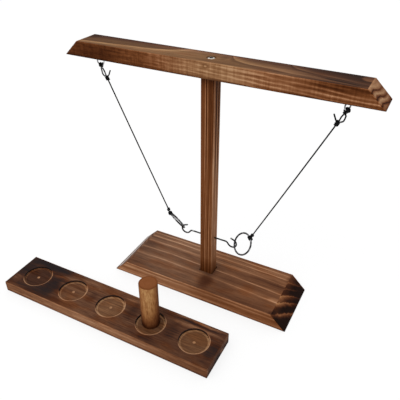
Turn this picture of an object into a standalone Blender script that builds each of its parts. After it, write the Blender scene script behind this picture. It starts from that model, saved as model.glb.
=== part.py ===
"""Hook-and-ring game: a T-shaped wooden stand, two rings on cords, a counting tray and a peg.

Metres, +Z up. The origin lies on the table, at the middle of the whole set's footprint.
+X runs along the crossbar and -Y points to the player's side, where the tray lies.
The right side of the stand is made in its own frame, and turned half round the post for the left.
"""
import math
from collections import namedtuple

import bmesh
import bpy
import numpy as np
from mathutils import Matrix, Vector

# Clearances
SEAT_GAP = 0.0003
HOLE_GAP = 0.0003
THREAD_GAP = 0.0003
CORD_GAP = 0.00045
RING_GAP = 0.0004

# Crossbar, its underside measured from the table
CROSSBAR_LENGTH = 0.400
CROSSBAR_WIDTH = 0.038
CROSSBAR_THICKNESS = 0.0195
CROSSBAR_BEVEL_RUN = 0.0205
CROSSBAR_HEIGHT = 0.3195

# Base board
BASE_LENGTH = 0.277
BASE_WIDTH = 0.091
BASE_THICKNESS = 0.0215
BASE_BEVEL_RUN = 0.0215

# Post and the mortise that it stands in
POST_SIDE = 0.0185
POST_EDGE_RADIUS = 0.0018
MORTISE_DEPTH = 0.012
MORTISE_END_SLACK = 0.0017
MORTISE_FACE_SLACK = 0.0003
MORTISE_CORNER_RADIUS = 0.0018

# Tray, laid in front of the base
TRAY_LENGTH = 0.331
TRAY_WIDTH = 0.064
TRAY_THICKNESS = 0.0165
TRAY_SHIFT = -0.0873
TRAY_FRONT_GAP = 0.0495
RECESS_COUNT = 5
RECESS_PITCH = 0.0655
RECESS_DIAMETER = 0.040
RECESS_DEPTH = 0.003
RECESS_RIM_EASE = 0.0005
DRILL_MARK_DIAMETER = 0.0044
DRILL_MARK_DEPTH = 0.0016

# Peg, standing off centre in one recess
PEG_DIAMETER = 0.0245
PEG_HEIGHT = 0.0715
PEG_EDGE_EASE = 0.0006
PEG_RECESS = 3
PEG_SHIFT_X = -0.0015
PEG_SHIFT_Y = 0.0030

# Board edges
EDGE_EASE = 0.0008
EDGE_STEPS = 2

# Button-head bolts and the threaded inserts in the ends of the post
BOLT_DIAMETER = 0.006
BOLT_HEAD_DIAMETER = 0.0105
BOLT_HEAD_HEIGHT = 0.0033
BOLT_HEAD_RIM = 0.0010
BOLT_HEAD_FLAT = 0.006
BOLT_POINT = 0.0008
BOLT_GRIP = 0.010
BOLT_TIP_ROOM = 0.002
SOCKET_ACROSS = 0.004
SOCKET_DEPTH = 0.0022
HEAD_SINK = 0.0004
BASE_HEAD_SINK = 0.0014
COUNTERBORE_SLACK = 0.0006
BOLT_HOLE_SLACK = 0.0003
INSERT_DIAMETER = 0.0092
INSERT_LENGTH = 0.013
INSERT_RIDGE = 0.0006
INSERT_RIDGES = 5

# Screw hooks in the post: lengths and bends of the wire, from its screw end to its tip
HOOK_HEIGHT = 0.083
HOOK_WIRE = 0.0022
HOOK_SCREW_LENGTH = 0.0070
HOOK_SHANK = 0.017
HOOK_SHOULDER_RADIUS = 0.004
HOOK_SHOULDER_ANGLE = 53.0
HOOK_DROP = 0.003
HOOK_BEND_RADIUS = 0.0066
HOOK_BEND_ANGLE = 212.0
HOOK_TIP = 0.0056

# Screw eyes under the crossbar
EYE_REACH = 0.1595
EYE_WIRE = 0.0018
EYE_SCREW_LENGTH = 0.012
EYE_LOOP_RADIUS = 0.0046
EYE_NECK_RADIUS = 0.002
EYE_DROP = 0.0130
EYE_END_ANGLE = 128.0
EYE_TURN = {"right": 62.0, "left": 8.0}

# Rings, each leaning on its hook
RING_RADIUS = 0.0151
RING_WIRE = 0.0024
RING_TURN = -31.3
RING_LEAN = 57.5
RING_REST_ANGLE = 210.1
RING_KNOT_ANGLE = 64.0
RING_ROLL = {"right": 0.0, "left": -6.0}
HOOK_CONTACT_ANGLE = 15.0

# Cords and their knots
CORD_DIAMETER = 0.0014
CORD_SPACING = 0.006
TAIL_SPACING = 0.0028
WINDING_GAP = 0.0007
EYE_KNOT_RADIUS = 0.0030
EYE_KNOT_ROOM = 0.0005
LOOP_KNOT_DISTANCE = 0.0185
LOOP_KNOT_TURNS = 3
LOOP_TAIL = 0.0080
LOOP_TAIL_LEAN = 50.0
LOOP_BOW = 0.0027
RING_KNOT_TURNS = 3
RING_HITCH_TURNS = 2
TURN_POINTS = 10

# The cord's route between its two knots: share of the way, step to the side, step down
CORD_ROUTE = (
    (0.00, 0.0000, 0.0000),
    (0.25, 0.0001, 0.0004),
    (0.50, 0.0000, 0.0006),
    (0.75, -0.0001, 0.0005),
    (1.00, 0.0000, 0.0000),
)

# Facets
ROUND_SIDES = 40
BORE_SIDES = 24
CORNER_STEPS = 3
CROWN_STEPS = 5
KNOT_SIDES = 16
KNOT_RINGS = 10
RING_SEGMENTS = 44
RING_SIDES = 10
BEND_STEP = 14.0
WIRE_RESOLUTION = 3
CORD_RESOLUTION = 2
KNOT_RESOLUTION = 1
ROUTE_SAMPLES = 40
GAP_SAMPLES = 4
GAP_NEIGHBOURS = 10
SMOOTH_ANGLE = 40.0
MERGE_DISTANCE = 1e-6

# A wire's screw point as a share of its radius, and the steps of its domed end in degrees
SCREW_POINT = 0.2
WIRE_DOME_ANGLES = (37.0, 72.0)

SIDES = {"right": 0.0, "left": 180.0}

Finish = namedtuple("Finish", "colour roughness metallic")
DARK_WOOD = Finish((0.105, 0.045, 0.020), 0.55, 0.0)
POST_WOOD = Finish((0.150, 0.078, 0.042), 0.55, 0.0)
PEG_WOOD = Finish((0.300, 0.165, 0.062), 0.50, 0.0)
PLATED_STEEL = Finish((0.62, 0.62, 0.63), 0.22, 1.0)
ZINC_ALLOY = Finish((0.45, 0.45, 0.44), 0.40, 1.0)
BLACK_CORD = Finish((0.012, 0.012, 0.013), 0.85, 0.0)

Run = namedtuple("Run", "length")
Bend = namedtuple("Bend", "radius degrees")


def clear_scene():
    """Remove every object that the file opens with."""
    for thing in list(bpy.data.objects):
        bpy.data.objects.remove(thing, do_unlink=True)


def add_material(thing, finish):
    """Give an object its own Principled material."""
    material = bpy.data.materials.new(thing.name)
    material.use_nodes = True
    shader = material.node_tree.nodes["Principled BSDF"]
    shader.inputs["Base Color"].default_value = (*finish.colour, 1.0)
    shader.inputs["Roughness"].default_value = finish.roughness
    shader.inputs["Metallic"].default_value = finish.metallic
    thing.data.materials.append(material)


def add_frame(name, parent=None, location=(0, 0, 0), turn=0.0):
    """Add an empty that carries pieces."""
    frame = bpy.data.objects.new(name, None)
    bpy.context.scene.collection.objects.link(frame)
    frame.parent = parent
    frame.location = location
    frame.rotation_euler = (0, 0, math.radians(turn))
    return frame


def add_object(name, data, parent, location=(0, 0, 0), rotation=(0, 0, 0), finish=None):
    """Link mesh or curve data as a named piece, or as a hidden cutter when it has no finish."""
    thing = bpy.data.objects.new(name, data)
    bpy.context.scene.collection.objects.link(thing)
    thing.parent = parent
    thing.location = location
    thing.rotation_euler = rotation
    if finish is None:
        thing.hide_render = True
        thing.display_type = "WIRE"
    else:
        add_material(thing, finish)
    return thing


def mesh_from(name, bm):
    """Turn a bmesh into smooth shaded mesh data with its faces pointing out."""
    bmesh.ops.recalc_face_normals(bm, faces=bm.faces)
    mesh = bpy.data.meshes.new(name)
    bm.to_mesh(mesh)
    bm.free()
    mesh.shade_smooth()
    mesh.set_sharp_from_angle(angle=math.radians(SMOOTH_ANGLE))
    return mesh


def cut(piece, cutter):
    """Cut a hidden solid out of a piece."""
    modifier = piece.modifiers.new(cutter.name, "BOOLEAN")
    modifier.operation = "DIFFERENCE"
    modifier.solver = "EXACT"
    modifier.object = cutter


def prism(name, outline, width):
    """Extrude an X-Z outline along Y, centred, and ease all of its edges."""
    bm = bmesh.new()
    verts = [bm.verts.new((x, -width / 2, z)) for x, z in outline]
    face = bm.faces.new(verts)
    moved = bmesh.ops.extrude_face_region(bm, geom=[face])["geom"]
    bmesh.ops.translate(bm, vec=(0, width, 0), verts=[v for v in moved if isinstance(v, bmesh.types.BMVert)])
    bmesh.ops.recalc_face_normals(bm, faces=bm.faces)
    bmesh.ops.bevel(bm, geom=bm.edges[:], offset=EDGE_EASE, segments=EDGE_STEPS, affect="EDGES", profile=0.5)
    return mesh_from(name, bm)


def board(name, length, width, thickness, bevel_run=0.0):
    """A board on its underside, whose ends slope in towards the top by the bevel's run."""
    half = length / 2
    outline = [(-half, 0), (half, 0), (half - bevel_run, thickness), (-half + bevel_run, thickness)]
    return prism(name, outline, width)


def square_bar(name, side_x, side_y, height, edge_radius):
    """An upright bar on its foot, with its four long edges rounded."""
    bm = bmesh.new()
    bmesh.ops.create_cube(bm, size=1.0)
    bmesh.ops.scale(bm, vec=(side_x, side_y, height), verts=bm.verts)
    bmesh.ops.translate(bm, vec=(0, 0, height / 2), verts=bm.verts)
    upright = [e for e in bm.edges if abs(e.verts[0].co.z - e.verts[1].co.z) > height / 2]
    bmesh.ops.bevel(bm, geom=upright, offset=edge_radius, segments=CORNER_STEPS, affect="EDGES", profile=0.5)
    return mesh_from(name, bm)


def turned_bmesh(profile, sides):
    """Spin a radius-height profile, read from top to bottom, round the Z axis."""
    bm = bmesh.new()
    verts = [bm.verts.new((radius, 0, height)) for radius, height in profile]
    edges = [bm.edges.new(pair) for pair in zip(verts, verts[1:])]
    bmesh.ops.spin(bm, geom=verts + edges, axis=(0, 0, 1), cent=(0, 0, 0), angle=2 * math.pi,
                   steps=sides, use_merge=True, use_duplicate=False)
    bmesh.ops.remove_doubles(bm, verts=bm.verts, dist=MERGE_DISTANCE)
    return bm


def turned(name, profile, sides):
    """Turned mesh data from a closed radius-height profile."""
    return mesh_from(name, turned_bmesh(profile, sides))


def copies(name, bm, places):
    """Repeat a bmesh at several places as one mesh of separate solids, for a cutter."""
    whole = bmesh.new()
    part = bpy.data.meshes.new(name + "_one")
    bmesh.ops.recalc_face_normals(bm, faces=bm.faces)
    bm.to_mesh(part)
    bm.free()
    for place in places:
        before = set(whole.verts)
        whole.from_mesh(part)
        fresh = [v for v in whole.verts if v not in before]
        bmesh.ops.transform(whole, matrix=place, verts=fresh)
    return mesh_from(name, whole)


def pilot_profile(diameter, depth):
    """A drilled blind hole that starts just above z = 0 and ends in a cone below it."""
    radius = diameter / 2 + HOLE_GAP
    return [(0, radius), (radius, radius), (radius, -depth), (0, -depth - radius)]


def bent_wire(start, heading, moves):
    """Follow runs and bends in a plane: returns the points, the end point and the end heading."""
    point = np.array(start, float)
    angle = math.radians(heading)
    points = [point.copy()]
    for move in moves:
        if isinstance(move, Run):
            point = point + move.length * np.array([math.cos(angle), math.sin(angle)])
            points.append(point.copy())
            continue
        steps = max(2, math.ceil(abs(move.degrees) / BEND_STEP))
        step = math.radians(move.degrees) / steps
        chord = 2 * move.radius * math.sin(abs(step) / 2)
        for _ in range(steps):
            direction = angle + step / 2
            point = point + chord * np.array([math.cos(direction), math.sin(direction)])
            angle += step
            points.append(point.copy())
    return np.array(points), point, math.degrees(angle)


def smooth_route(points, spacing):
    """Points at an even spacing on a smooth curve through the given points."""
    points = np.asarray(points, float)
    first = 2 * points[0] - points[1]
    last = 2 * points[-1] - points[-2]
    padded = np.vstack([first, points, last])
    dense = []
    for a, b, c, d in zip(padded, padded[1:], padded[2:], padded[3:]):
        t = np.linspace(0, 1, ROUTE_SAMPLES, endpoint=False)[:, None]
        dense.append(0.5 * (2 * b + (c - a) * t + (2 * a - 5 * b + 4 * c - d) * t**2
                            + (3 * b - a - 3 * c + d) * t**3))
    dense = np.vstack(dense + [points[-1:]])
    along = np.concatenate([[0], np.cumsum(np.linalg.norm(np.diff(dense, axis=0), axis=1))])
    count = max(2, round(along[-1] / spacing) + 1)
    wanted = np.linspace(0, along[-1], count)
    return np.stack([np.interp(wanted, along, dense[:, i]) for i in range(3)], axis=1)


def tube(name, points, diameter, resolution, parent, finish, radii=None, **place):
    """A round tube with filled ends along a run of points."""
    curve = bpy.data.curves.new(name, "CURVE")
    curve.dimensions = "3D"
    curve.bevel_depth = diameter / 2
    curve.bevel_resolution = resolution
    curve.use_fill_caps = True
    spline = curve.splines.new("POLY")
    spline.points.add(len(points) - 1)
    for i, point in enumerate(points):
        spline.points[i].co = (*point, 1.0)
        spline.points[i].radius = 1.0 if radii is None else radii[i]
    spline.use_smooth = True
    return add_object(name, curve, parent, finish=finish, **place)


def least_gap(name, points, diameter):
    """Print a wound tube's least gap to itself, measured between points of its centre line."""
    dense = smooth_route(points, diameter / GAP_SAMPLES)
    apart = np.linalg.norm(dense[:, None] - dense[None], axis=2)
    order = np.arange(len(dense))
    skip = np.abs(order[:, None] - order[None]) < GAP_NEIGHBOURS
    apart[skip] = np.inf
    print(f"{name}: least gap to itself {1000 * (apart.min() - diameter):.2f} mm")


def unit(vector):
    """A vector scaled to length one."""
    return np.asarray(vector, float) / np.linalg.norm(vector)


def stand_place():
    """Where the post stands, so that the set's footprint is centred on the origin."""
    left = min(-CROSSBAR_LENGTH / 2, TRAY_SHIFT - TRAY_LENGTH / 2)
    right = max(CROSSBAR_LENGTH / 2, TRAY_SHIFT + TRAY_LENGTH / 2)
    front = -BASE_WIDTH / 2 - TRAY_FRONT_GAP - TRAY_WIDTH
    return -(left + right) / 2, -(front + BASE_WIDTH / 2) / 2, 0


def bolt_seat(head_sink):
    """Depth of the step that a bolt's head sits on, under the face that it is sunk in."""
    return head_sink + BOLT_HEAD_HEIGHT + SEAT_GAP


def bolt_hole(name, parent, height, upward, thickness, head_sink):
    """Cutter for a counterbored bolt hole, its mouth at the given height."""
    wide = BOLT_HEAD_DIAMETER / 2 + COUNTERBORE_SLACK
    narrow = BOLT_DIAMETER / 2 + BOLT_HOLE_SLACK
    seat = bolt_seat(head_sink)
    profile = [(0, wide), (wide, wide), (wide, -seat), (narrow, -seat),
               (narrow, -thickness - narrow), (0, -thickness - narrow)]
    turn = 0 if upward else math.pi
    mesh = turned(name, profile, BORE_SIDES)
    return add_object(name, mesh, parent, (0, 0, height), (turn, 0, 0))


def add_bolt(name, parent, height, upward, web):
    """A button-head bolt through a web of wood, its head's seat at the given height."""
    head = BOLT_HEAD_DIAMETER / 2
    shank = BOLT_DIAMETER / 2
    length = web + SEAT_GAP + BOLT_GRIP
    rise = BOLT_HEAD_HEIGHT - BOLT_HEAD_RIM
    flat = BOLT_HEAD_FLAT / 2
    dome = []
    for angle in np.linspace(0, math.pi / 2, CROWN_STEPS + 1):
        dome.append((flat + (head - flat) * math.sin(angle), BOLT_HEAD_RIM + rise * math.cos(angle)))
    profile = [(0, BOLT_HEAD_HEIGHT)] + dome + [(head, 0), (shank, 0), (shank, -length + BOLT_POINT),
                                                (shank - BOLT_POINT, -length), (0, -length)]
    turn = 0 if upward else math.pi
    bolt = add_object(name, turned(name, profile, BORE_SIDES), parent, (0, 0, height), (turn, 0, 0),
                      PLATED_STEEL)
    bm = bmesh.new()
    across_corners = SOCKET_ACROSS / math.cos(math.pi / 6)
    bmesh.ops.create_cone(bm, cap_ends=True, segments=6, radius1=across_corners / 2,
                          radius2=across_corners / 2, depth=2 * SOCKET_DEPTH)
    bmesh.ops.translate(bm, vec=(0, 0, BOLT_HEAD_HEIGHT), verts=bm.verts)
    cut(bolt, add_object(name + "_socket", mesh_from(name + "_socket", bm), parent, (0, 0, height),
                         (turn, 0, 0)))


def insert_hole_depth():
    """Depth of the hole for an insert, with room for the bolt's tip."""
    return max(INSERT_LENGTH, BOLT_GRIP) + BOLT_TIP_ROOM


def add_insert(name, parent, height, upward):
    """A threaded insert sunk flush in an end of the post, its open face at the given height."""
    bore = BOLT_DIAMETER / 2 + THREAD_GAP
    crest = INSERT_DIAMETER / 2
    root = crest - INSERT_RIDGE
    pitch = INSERT_LENGTH / INSERT_RIDGES
    outer = []
    for i in range(INSERT_RIDGES):
        outer += [(root, -i * pitch), (crest, -(i + 0.5) * pitch)]
    profile = [(bore, 0)] + outer + [(root, -INSERT_LENGTH), (bore, -INSERT_LENGTH), (bore, 0)]
    turn = 0 if upward else math.pi
    add_object(name, turned(name, profile, BORE_SIDES), parent, (0, 0, height), (turn, 0, 0), ZINC_ALLOY)


def build_base(stand):
    """Base board with the mortise for the post and the bolt's hole from below."""
    base = add_object("base_board", board("base_board", BASE_LENGTH, BASE_WIDTH, BASE_THICKNESS,
                                          BASE_BEVEL_RUN), stand, finish=DARK_WOOD)
    mortise = square_bar("mortise", POST_SIDE + 2 * MORTISE_END_SLACK, POST_SIDE + 2 * MORTISE_FACE_SLACK,
                         2 * MORTISE_DEPTH, MORTISE_CORNER_RADIUS)
    floor = BASE_THICKNESS - MORTISE_DEPTH
    cut(base, add_object("mortise_cut", mortise, stand, (0, 0, floor)))
    cut(base, bolt_hole("base_bolt_cut", stand, 0, False, floor, BASE_HEAD_SINK))
    seat = bolt_seat(BASE_HEAD_SINK)
    add_bolt("base_bolt", stand, seat - SEAT_GAP, False, floor - seat + SEAT_GAP)


def build_post(stand):
    """Square post from the mortise to the crossbar, with its inserts and the hooks' pilot holes."""
    foot = BASE_THICKNESS - MORTISE_DEPTH + SEAT_GAP
    top = CROSSBAR_HEIGHT - SEAT_GAP
    post = add_object("post", square_bar("post", POST_SIDE, POST_SIDE, top - foot, POST_EDGE_RADIUS),
                      stand, (0, 0, foot), finish=POST_WOOD)
    wide = INSERT_DIAMETER / 2 + HOLE_GAP
    deep = insert_hole_depth()
    hole = [(0, wide), (wide, wide), (wide, -deep), (0, -deep)]
    flip = Matrix.Rotation(math.pi, 4, "X")
    ends = [Matrix.Translation((0, 0, top)), Matrix.Translation((0, 0, foot)) @ flip]
    cut(post, add_object("insert_cut", copies("insert_cut", turned_bmesh(hole, BORE_SIDES), ends), stand))
    pilot = turned_bmesh(pilot_profile(HOOK_WIRE, HOOK_SCREW_LENGTH), BORE_SIDES // 2)
    mouths = []
    for angle in SIDES.values():
        outward = Matrix.Rotation(math.radians(angle), 4, "Z")
        mouth = Matrix.Translation((POST_SIDE / 2, 0, HOOK_HEIGHT))
        mouths.append(outward @ mouth @ Matrix.Rotation(math.pi / 2, 4, "Y"))
    cut(post, add_object("hook_pilot_cut", copies("hook_pilot_cut", pilot, mouths), stand))
    add_insert("crossbar_insert", stand, top, True)
    add_insert("base_insert", stand, foot, False)


def build_crossbar(stand):
    """Crossbar with the bolt's counterbored hole and the screw eyes' pilot holes."""
    bar = add_object("crossbar", board("crossbar", CROSSBAR_LENGTH, CROSSBAR_WIDTH, CROSSBAR_THICKNESS,
                                       CROSSBAR_BEVEL_RUN), stand, (0, 0, CROSSBAR_HEIGHT), finish=DARK_WOOD)
    top = CROSSBAR_HEIGHT + CROSSBAR_THICKNESS
    cut(bar, bolt_hole("crossbar_bolt_cut", stand, top, True, CROSSBAR_THICKNESS, HEAD_SINK))
    pilot = turned_bmesh(pilot_profile(EYE_WIRE, EYE_SCREW_LENGTH), BORE_SIDES // 2)
    flip = Matrix.Rotation(math.pi, 4, "X")
    mouths = [Matrix.Translation((reach, 0, CROSSBAR_HEIGHT)) @ flip for reach in (EYE_REACH, -EYE_REACH)]
    cut(bar, add_object("eye_pilot_cut", copies("eye_pilot_cut", pilot, mouths), stand))
    seat = bolt_seat(HEAD_SINK)
    add_bolt("crossbar_bolt", stand, top - seat + SEAT_GAP, True, CROSSBAR_THICKNESS - seat + SEAT_GAP)


def hook_moves():
    """Runs and bends of the hook's wire up to its round bend, and after it."""
    lead = [Run(HOOK_SCREW_LENGTH + HOOK_SHANK), Bend(HOOK_SHOULDER_RADIUS, -HOOK_SHOULDER_ANGLE),
            Run(HOOK_DROP)]
    return lead, [Bend(HOOK_BEND_RADIUS, HOOK_BEND_ANGLE), Run(HOOK_TIP)]


def hook_start():
    """Place of the hook's screw end in the side's X-Z plane."""
    return POST_SIDE / 2 - HOOK_SCREW_LENGTH, HOOK_HEIGHT


def hook_bend_centre():
    """Centre of the hook's round bend in the side's X-Z plane."""
    _, point, heading = bent_wire(hook_start(), 0, hook_moves()[0])
    angle = math.radians(heading)
    return point + HOOK_BEND_RADIUS * np.array([-math.sin(angle), math.cos(angle)])


def pointed(points, diameter):
    """Add a short screw point before a wire's first point and a dome after its last, with radii."""
    tip = unit(points[1] - points[0])
    end = unit(points[-1] - points[-2])
    angles = [math.radians(angle) for angle in WIRE_DOME_ANGLES]
    dome = [points[-1] + math.sin(angle) * diameter / 2 * end for angle in angles]
    whole = [points[0], points[0] + diameter * tip, *points[1:], *dome]
    radii = [SCREW_POINT] + [1.0] * len(points) + [math.cos(angle) for angle in angles]
    return np.array(whole), radii


def build_hook(side, frame):
    """Screw hook of bent wire, its screw in the side of the post."""
    lead, rest = hook_moves()
    flat, _, _ = bent_wire(hook_start(), 0, lead + rest)
    points = np.stack([flat[:, 0], np.zeros(len(flat)), flat[:, 1]], axis=1)
    points, radii = pointed(points, HOOK_WIRE)
    tube(f"{side}_hook", points, HOOK_WIRE, WIRE_RESOLUTION, frame, PLATED_STEEL, radii)


def build_eye(side, frame):
    """Screw eye: a straight screw, a neck that bends aside and a round loop centred under it."""
    neck_turn = math.degrees(math.acos(EYE_NECK_RADIUS / (EYE_NECK_RADIUS + EYE_LOOP_RADIUS)))
    neck_height = math.sqrt(EYE_LOOP_RADIUS**2 + 2 * EYE_NECK_RADIUS * EYE_LOOP_RADIUS)
    loop_centre = CROSSBAR_HEIGHT - EYE_DROP + EYE_LOOP_RADIUS
    shank = CROSSBAR_HEIGHT + EYE_SCREW_LENGTH - loop_centre - neck_height
    moves = [Run(shank), Bend(EYE_NECK_RADIUS, neck_turn),
             Bend(EYE_LOOP_RADIUS, -(neck_turn + 360 - EYE_END_ANGLE))]
    flat, _, _ = bent_wire((0, EYE_SCREW_LENGTH), -90, moves)
    points = np.stack([flat[:, 0], np.zeros(len(flat)), flat[:, 1]], axis=1)
    points, radii = pointed(points, EYE_WIRE)
    turn = (0, 0, math.radians(EYE_TURN[side]))
    tube(f"{side}_screw_eye", points, EYE_WIRE, CORD_RESOLUTION, frame, PLATED_STEEL, radii,
         location=(EYE_REACH, 0, CROSSBAR_HEIGHT), rotation=turn)


def eye_knot_point():
    """Middle of the knot round the bottom of the screw eye, which the cord swings about."""
    return np.array([EYE_REACH, 0, CROSSBAR_HEIGHT - EYE_DROP])


def build_eye_knot(side, frame):
    """Round lump of cord tied about the bottom of the screw eye."""
    bm = bmesh.new()
    bmesh.ops.create_uvsphere(bm, u_segments=KNOT_SIDES, v_segments=KNOT_RINGS, radius=EYE_KNOT_RADIUS)
    knot = add_object(f"{side}_eye_knot", mesh_from("eye_knot", bm), frame, eye_knot_point(),
                      finish=BLACK_CORD)
    turn = math.radians(EYE_TURN[side])
    loop = bmesh.new()
    ring = bmesh.ops.create_circle(loop, segments=RING_SIDES, radius=EYE_WIRE / 2 + SEAT_GAP)["verts"]
    bmesh.ops.translate(loop, vec=(EYE_LOOP_RADIUS, 0, 0), verts=ring)
    bmesh.ops.spin(loop, geom=loop.verts[:] + loop.edges[:], axis=(0, 1, 0), cent=(0, 0, 0),
                   angle=2 * math.pi, steps=RING_SEGMENTS, use_merge=True, use_duplicate=False)
    bmesh.ops.remove_doubles(loop, verts=loop.verts, dist=MERGE_DISTANCE)
    centre = eye_knot_point() + np.array([0, 0, EYE_LOOP_RADIUS])
    groove = mesh_from("eye_knot_cut", loop)
    cut(knot, add_object(f"{side}_eye_knot_cut", groove, frame, centre, (0, 0, turn)))


def ring_pose(roll):
    """Rotation and centre of a ring that leans in its hook's bend, rolled about its hook and knot."""
    lean = Matrix.Rotation(math.radians(RING_LEAN), 3, "X")
    turn = Matrix.Rotation(math.radians(RING_TURN), 3, "Z") @ lean
    bend = hook_bend_centre()
    inset = HOOK_BEND_RADIUS - HOOK_WIRE / 2 - RING_WIRE / 2 - RING_GAP
    angle = math.radians(HOOK_CONTACT_ANGLE)
    contact = Vector((bend[0] + inset * math.cos(angle), 0, bend[1] + inset * math.sin(angle)))
    rest = math.radians(RING_REST_ANGLE)
    knot = math.radians(RING_KNOT_ANGLE)
    to_contact = RING_RADIUS * (turn @ Vector((math.cos(rest), math.sin(rest), 0)))
    to_knot = RING_RADIUS * (turn @ Vector((math.cos(knot), math.sin(knot), 0)))
    about = Matrix.Rotation(math.radians(roll), 3, (to_knot - to_contact).normalized())
    return about @ turn, contact - about @ to_contact


def ring_point(roll, angle, out=0.0, aside=0.0):
    """Point by a ring's wire: an angle round the ring, a step outward and a step along its axis."""
    turn, centre = ring_pose(roll)
    reach = RING_RADIUS + out
    local = Vector((reach * math.cos(angle), reach * math.sin(angle), aside))
    return np.array(centre + turn @ local)


def cord_ends():
    """The two points that a cord's line joins: the eye's knot and the knot on the ring."""
    return eye_knot_point(), ring_point(0.0, math.radians(RING_KNOT_ANGLE))


def cord_frame():
    """The cord's direction, a direction across it in the swing plane, and one square to both."""
    top, bottom = cord_ends()
    along = unit(bottom - top)
    across = unit(np.cross(along, (0, 1, 0)))
    return along, across, np.cross(along, across)


def add_swing_piece(name, swing, points, resolution):
    """A tube of cord, given in the side's frame, that hangs on the swing's pivot."""
    tube(name, np.asarray(points) - eye_knot_point(), CORD_DIAMETER, resolution, swing, BLACK_CORD)


def cord_span():
    """First and last point of the cord's straight stretch between its knots."""
    top, bottom = cord_ends()
    along, _, _ = cord_frame()
    knot_reach = RING_WIRE / 2 + 2 * CORD_GAP + CORD_DIAMETER
    return top + (EYE_KNOT_RADIUS + EYE_KNOT_ROOM) * along, bottom - knot_reach * along


def build_cord(side, swing):
    """The cord's free stretch, nearly straight, from the eye's knot to the ring's."""
    first, last = cord_span()
    _, across, _ = cord_frame()
    points = []
    for share, aside, down in CORD_ROUTE:
        points.append(first + share * (last - first) + aside * across - np.array([0, 0, down]))
    add_swing_piece(f"{side}_cord", swing, smooth_route(points, CORD_SPACING), CORD_RESOLUTION)


def winding_pitch():
    """Step from one turn of wound cord to the next."""
    return CORD_DIAMETER + WINDING_GAP


def winding(centre, along, across, turns, start_angle):
    """Points of turns of cord wound about a straight stretch of the same cord."""
    square = np.cross(along, across)
    radius = CORD_DIAMETER + CORD_GAP
    count = turns * TURN_POINTS + 1
    share = np.linspace(-0.5, 0.5, count)[:, None]
    angle = math.radians(start_angle) + 2 * math.pi * turns * (share + 0.5)
    step = radius * (np.cos(angle) * across + np.sin(angle) * square)
    return centre + share * turns * winding_pitch() * along + step


def build_loop(side, swing):
    """The cord's end: it comes back from the eye, is wound round the cord and leaves a short tail."""
    top, _ = cord_ends()
    along, across, _ = cord_frame()
    knot = top + LOOP_KNOT_DISTANCE * along
    turns = winding(knot, -along, across, LOOP_KNOT_TURNS, 180.0)
    leave = unit(turns[-1] - turns[-2])
    lean = math.radians(LOOP_TAIL_LEAN)
    rise = -math.cos(lean) * along - math.sin(lean) * across
    elbow = turns[-1] + CORD_DIAMETER * (leave - 0.5 * across)
    tip = elbow + LOOP_TAIL * rise
    points = np.vstack([turns, smooth_route([elbow, 0.5 * (elbow + tip), tip], TAIL_SPACING)])
    least_gap(f"{side}_loop_knot", points, CORD_DIAMETER)
    add_swing_piece(f"{side}_loop_knot", swing, points, KNOT_RESOLUTION)
    apart = CORD_DIAMETER + CORD_GAP
    first = math.sqrt((EYE_KNOT_RADIUS + EYE_KNOT_ROOM)**2 - apart**2)
    last = LOOP_KNOT_DISTANCE - 0.5 * LOOP_KNOT_TURNS * winding_pitch() - CORD_DIAMETER
    strand = [top + first * along + apart * across, top + 0.5 * (first + last) * along + LOOP_BOW * across,
              top + last * along + apart * across]
    add_swing_piece(f"{side}_cord_return", swing, smooth_route(strand, TAIL_SPACING), KNOT_RESOLUTION)


def build_ring(side, swing):
    """Steel ring of round wire, with the cord's knot wound about it and a hitch above the knot."""
    roll = RING_ROLL[side]
    turn, centre = ring_pose(roll)
    bm = bmesh.new()
    wire = bmesh.ops.create_circle(bm, segments=RING_SIDES, radius=RING_WIRE / 2)["verts"]
    bmesh.ops.rotate(bm, cent=(0, 0, 0), matrix=Matrix.Rotation(math.pi / 2, 3, "X"), verts=wire)
    bmesh.ops.translate(bm, vec=(RING_RADIUS, 0, 0), verts=wire)
    bmesh.ops.spin(bm, geom=bm.verts[:] + bm.edges[:], axis=(0, 0, 1), cent=(0, 0, 0), angle=2 * math.pi,
                   steps=RING_SEGMENTS, use_merge=True, use_duplicate=False)
    bmesh.ops.remove_doubles(bm, verts=bm.verts, dist=MERGE_DISTANCE)
    place = np.array(centre) - eye_knot_point()
    add_object(f"{side}_ring", mesh_from("ring", bm), swing, place, turn.to_euler(), PLATED_STEEL)
    wound = RING_WIRE / 2 + CORD_GAP + CORD_DIAMETER / 2
    pitch = winding_pitch() * RING_RADIUS / (RING_RADIUS - wound)
    count = RING_KNOT_TURNS * TURN_POINTS + 1
    points = []
    for i in range(count):
        share = i / (count - 1) - 0.5
        around = 2 * math.pi * RING_KNOT_TURNS * share
        angle = math.radians(RING_KNOT_ANGLE) + share * RING_KNOT_TURNS * pitch / RING_RADIUS
        points.append(ring_point(roll, angle, wound * math.cos(around), wound * math.sin(around)))
    least_gap(f"{side}_ring_knot", points, CORD_DIAMETER)
    add_swing_piece(f"{side}_ring_knot", swing, points, KNOT_RESOLUTION)
    _, last = cord_span()
    along, across, _ = cord_frame()
    length = RING_HITCH_TURNS * winding_pitch() + CORD_DIAMETER
    hitch = winding(last - 0.5 * length * along, along, across, RING_HITCH_TURNS, 0.0)
    least_gap(f"{side}_ring_hitch", hitch, CORD_DIAMETER)
    add_swing_piece(f"{side}_ring_hitch", swing, hitch, KNOT_RESOLUTION)


def build_side(side, stand):
    """Everything on one side of the post: hook, screw eye, cord and ring."""
    frame = add_frame(f"{side}_side", stand, turn=SIDES[side])
    build_hook(side, frame)
    build_eye(side, frame)
    build_eye_knot(side, frame)
    swing = add_frame(f"{side}_swing", frame, eye_knot_point())
    build_cord(side, swing)
    build_loop(side, swing)
    build_ring(side, swing)


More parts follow.
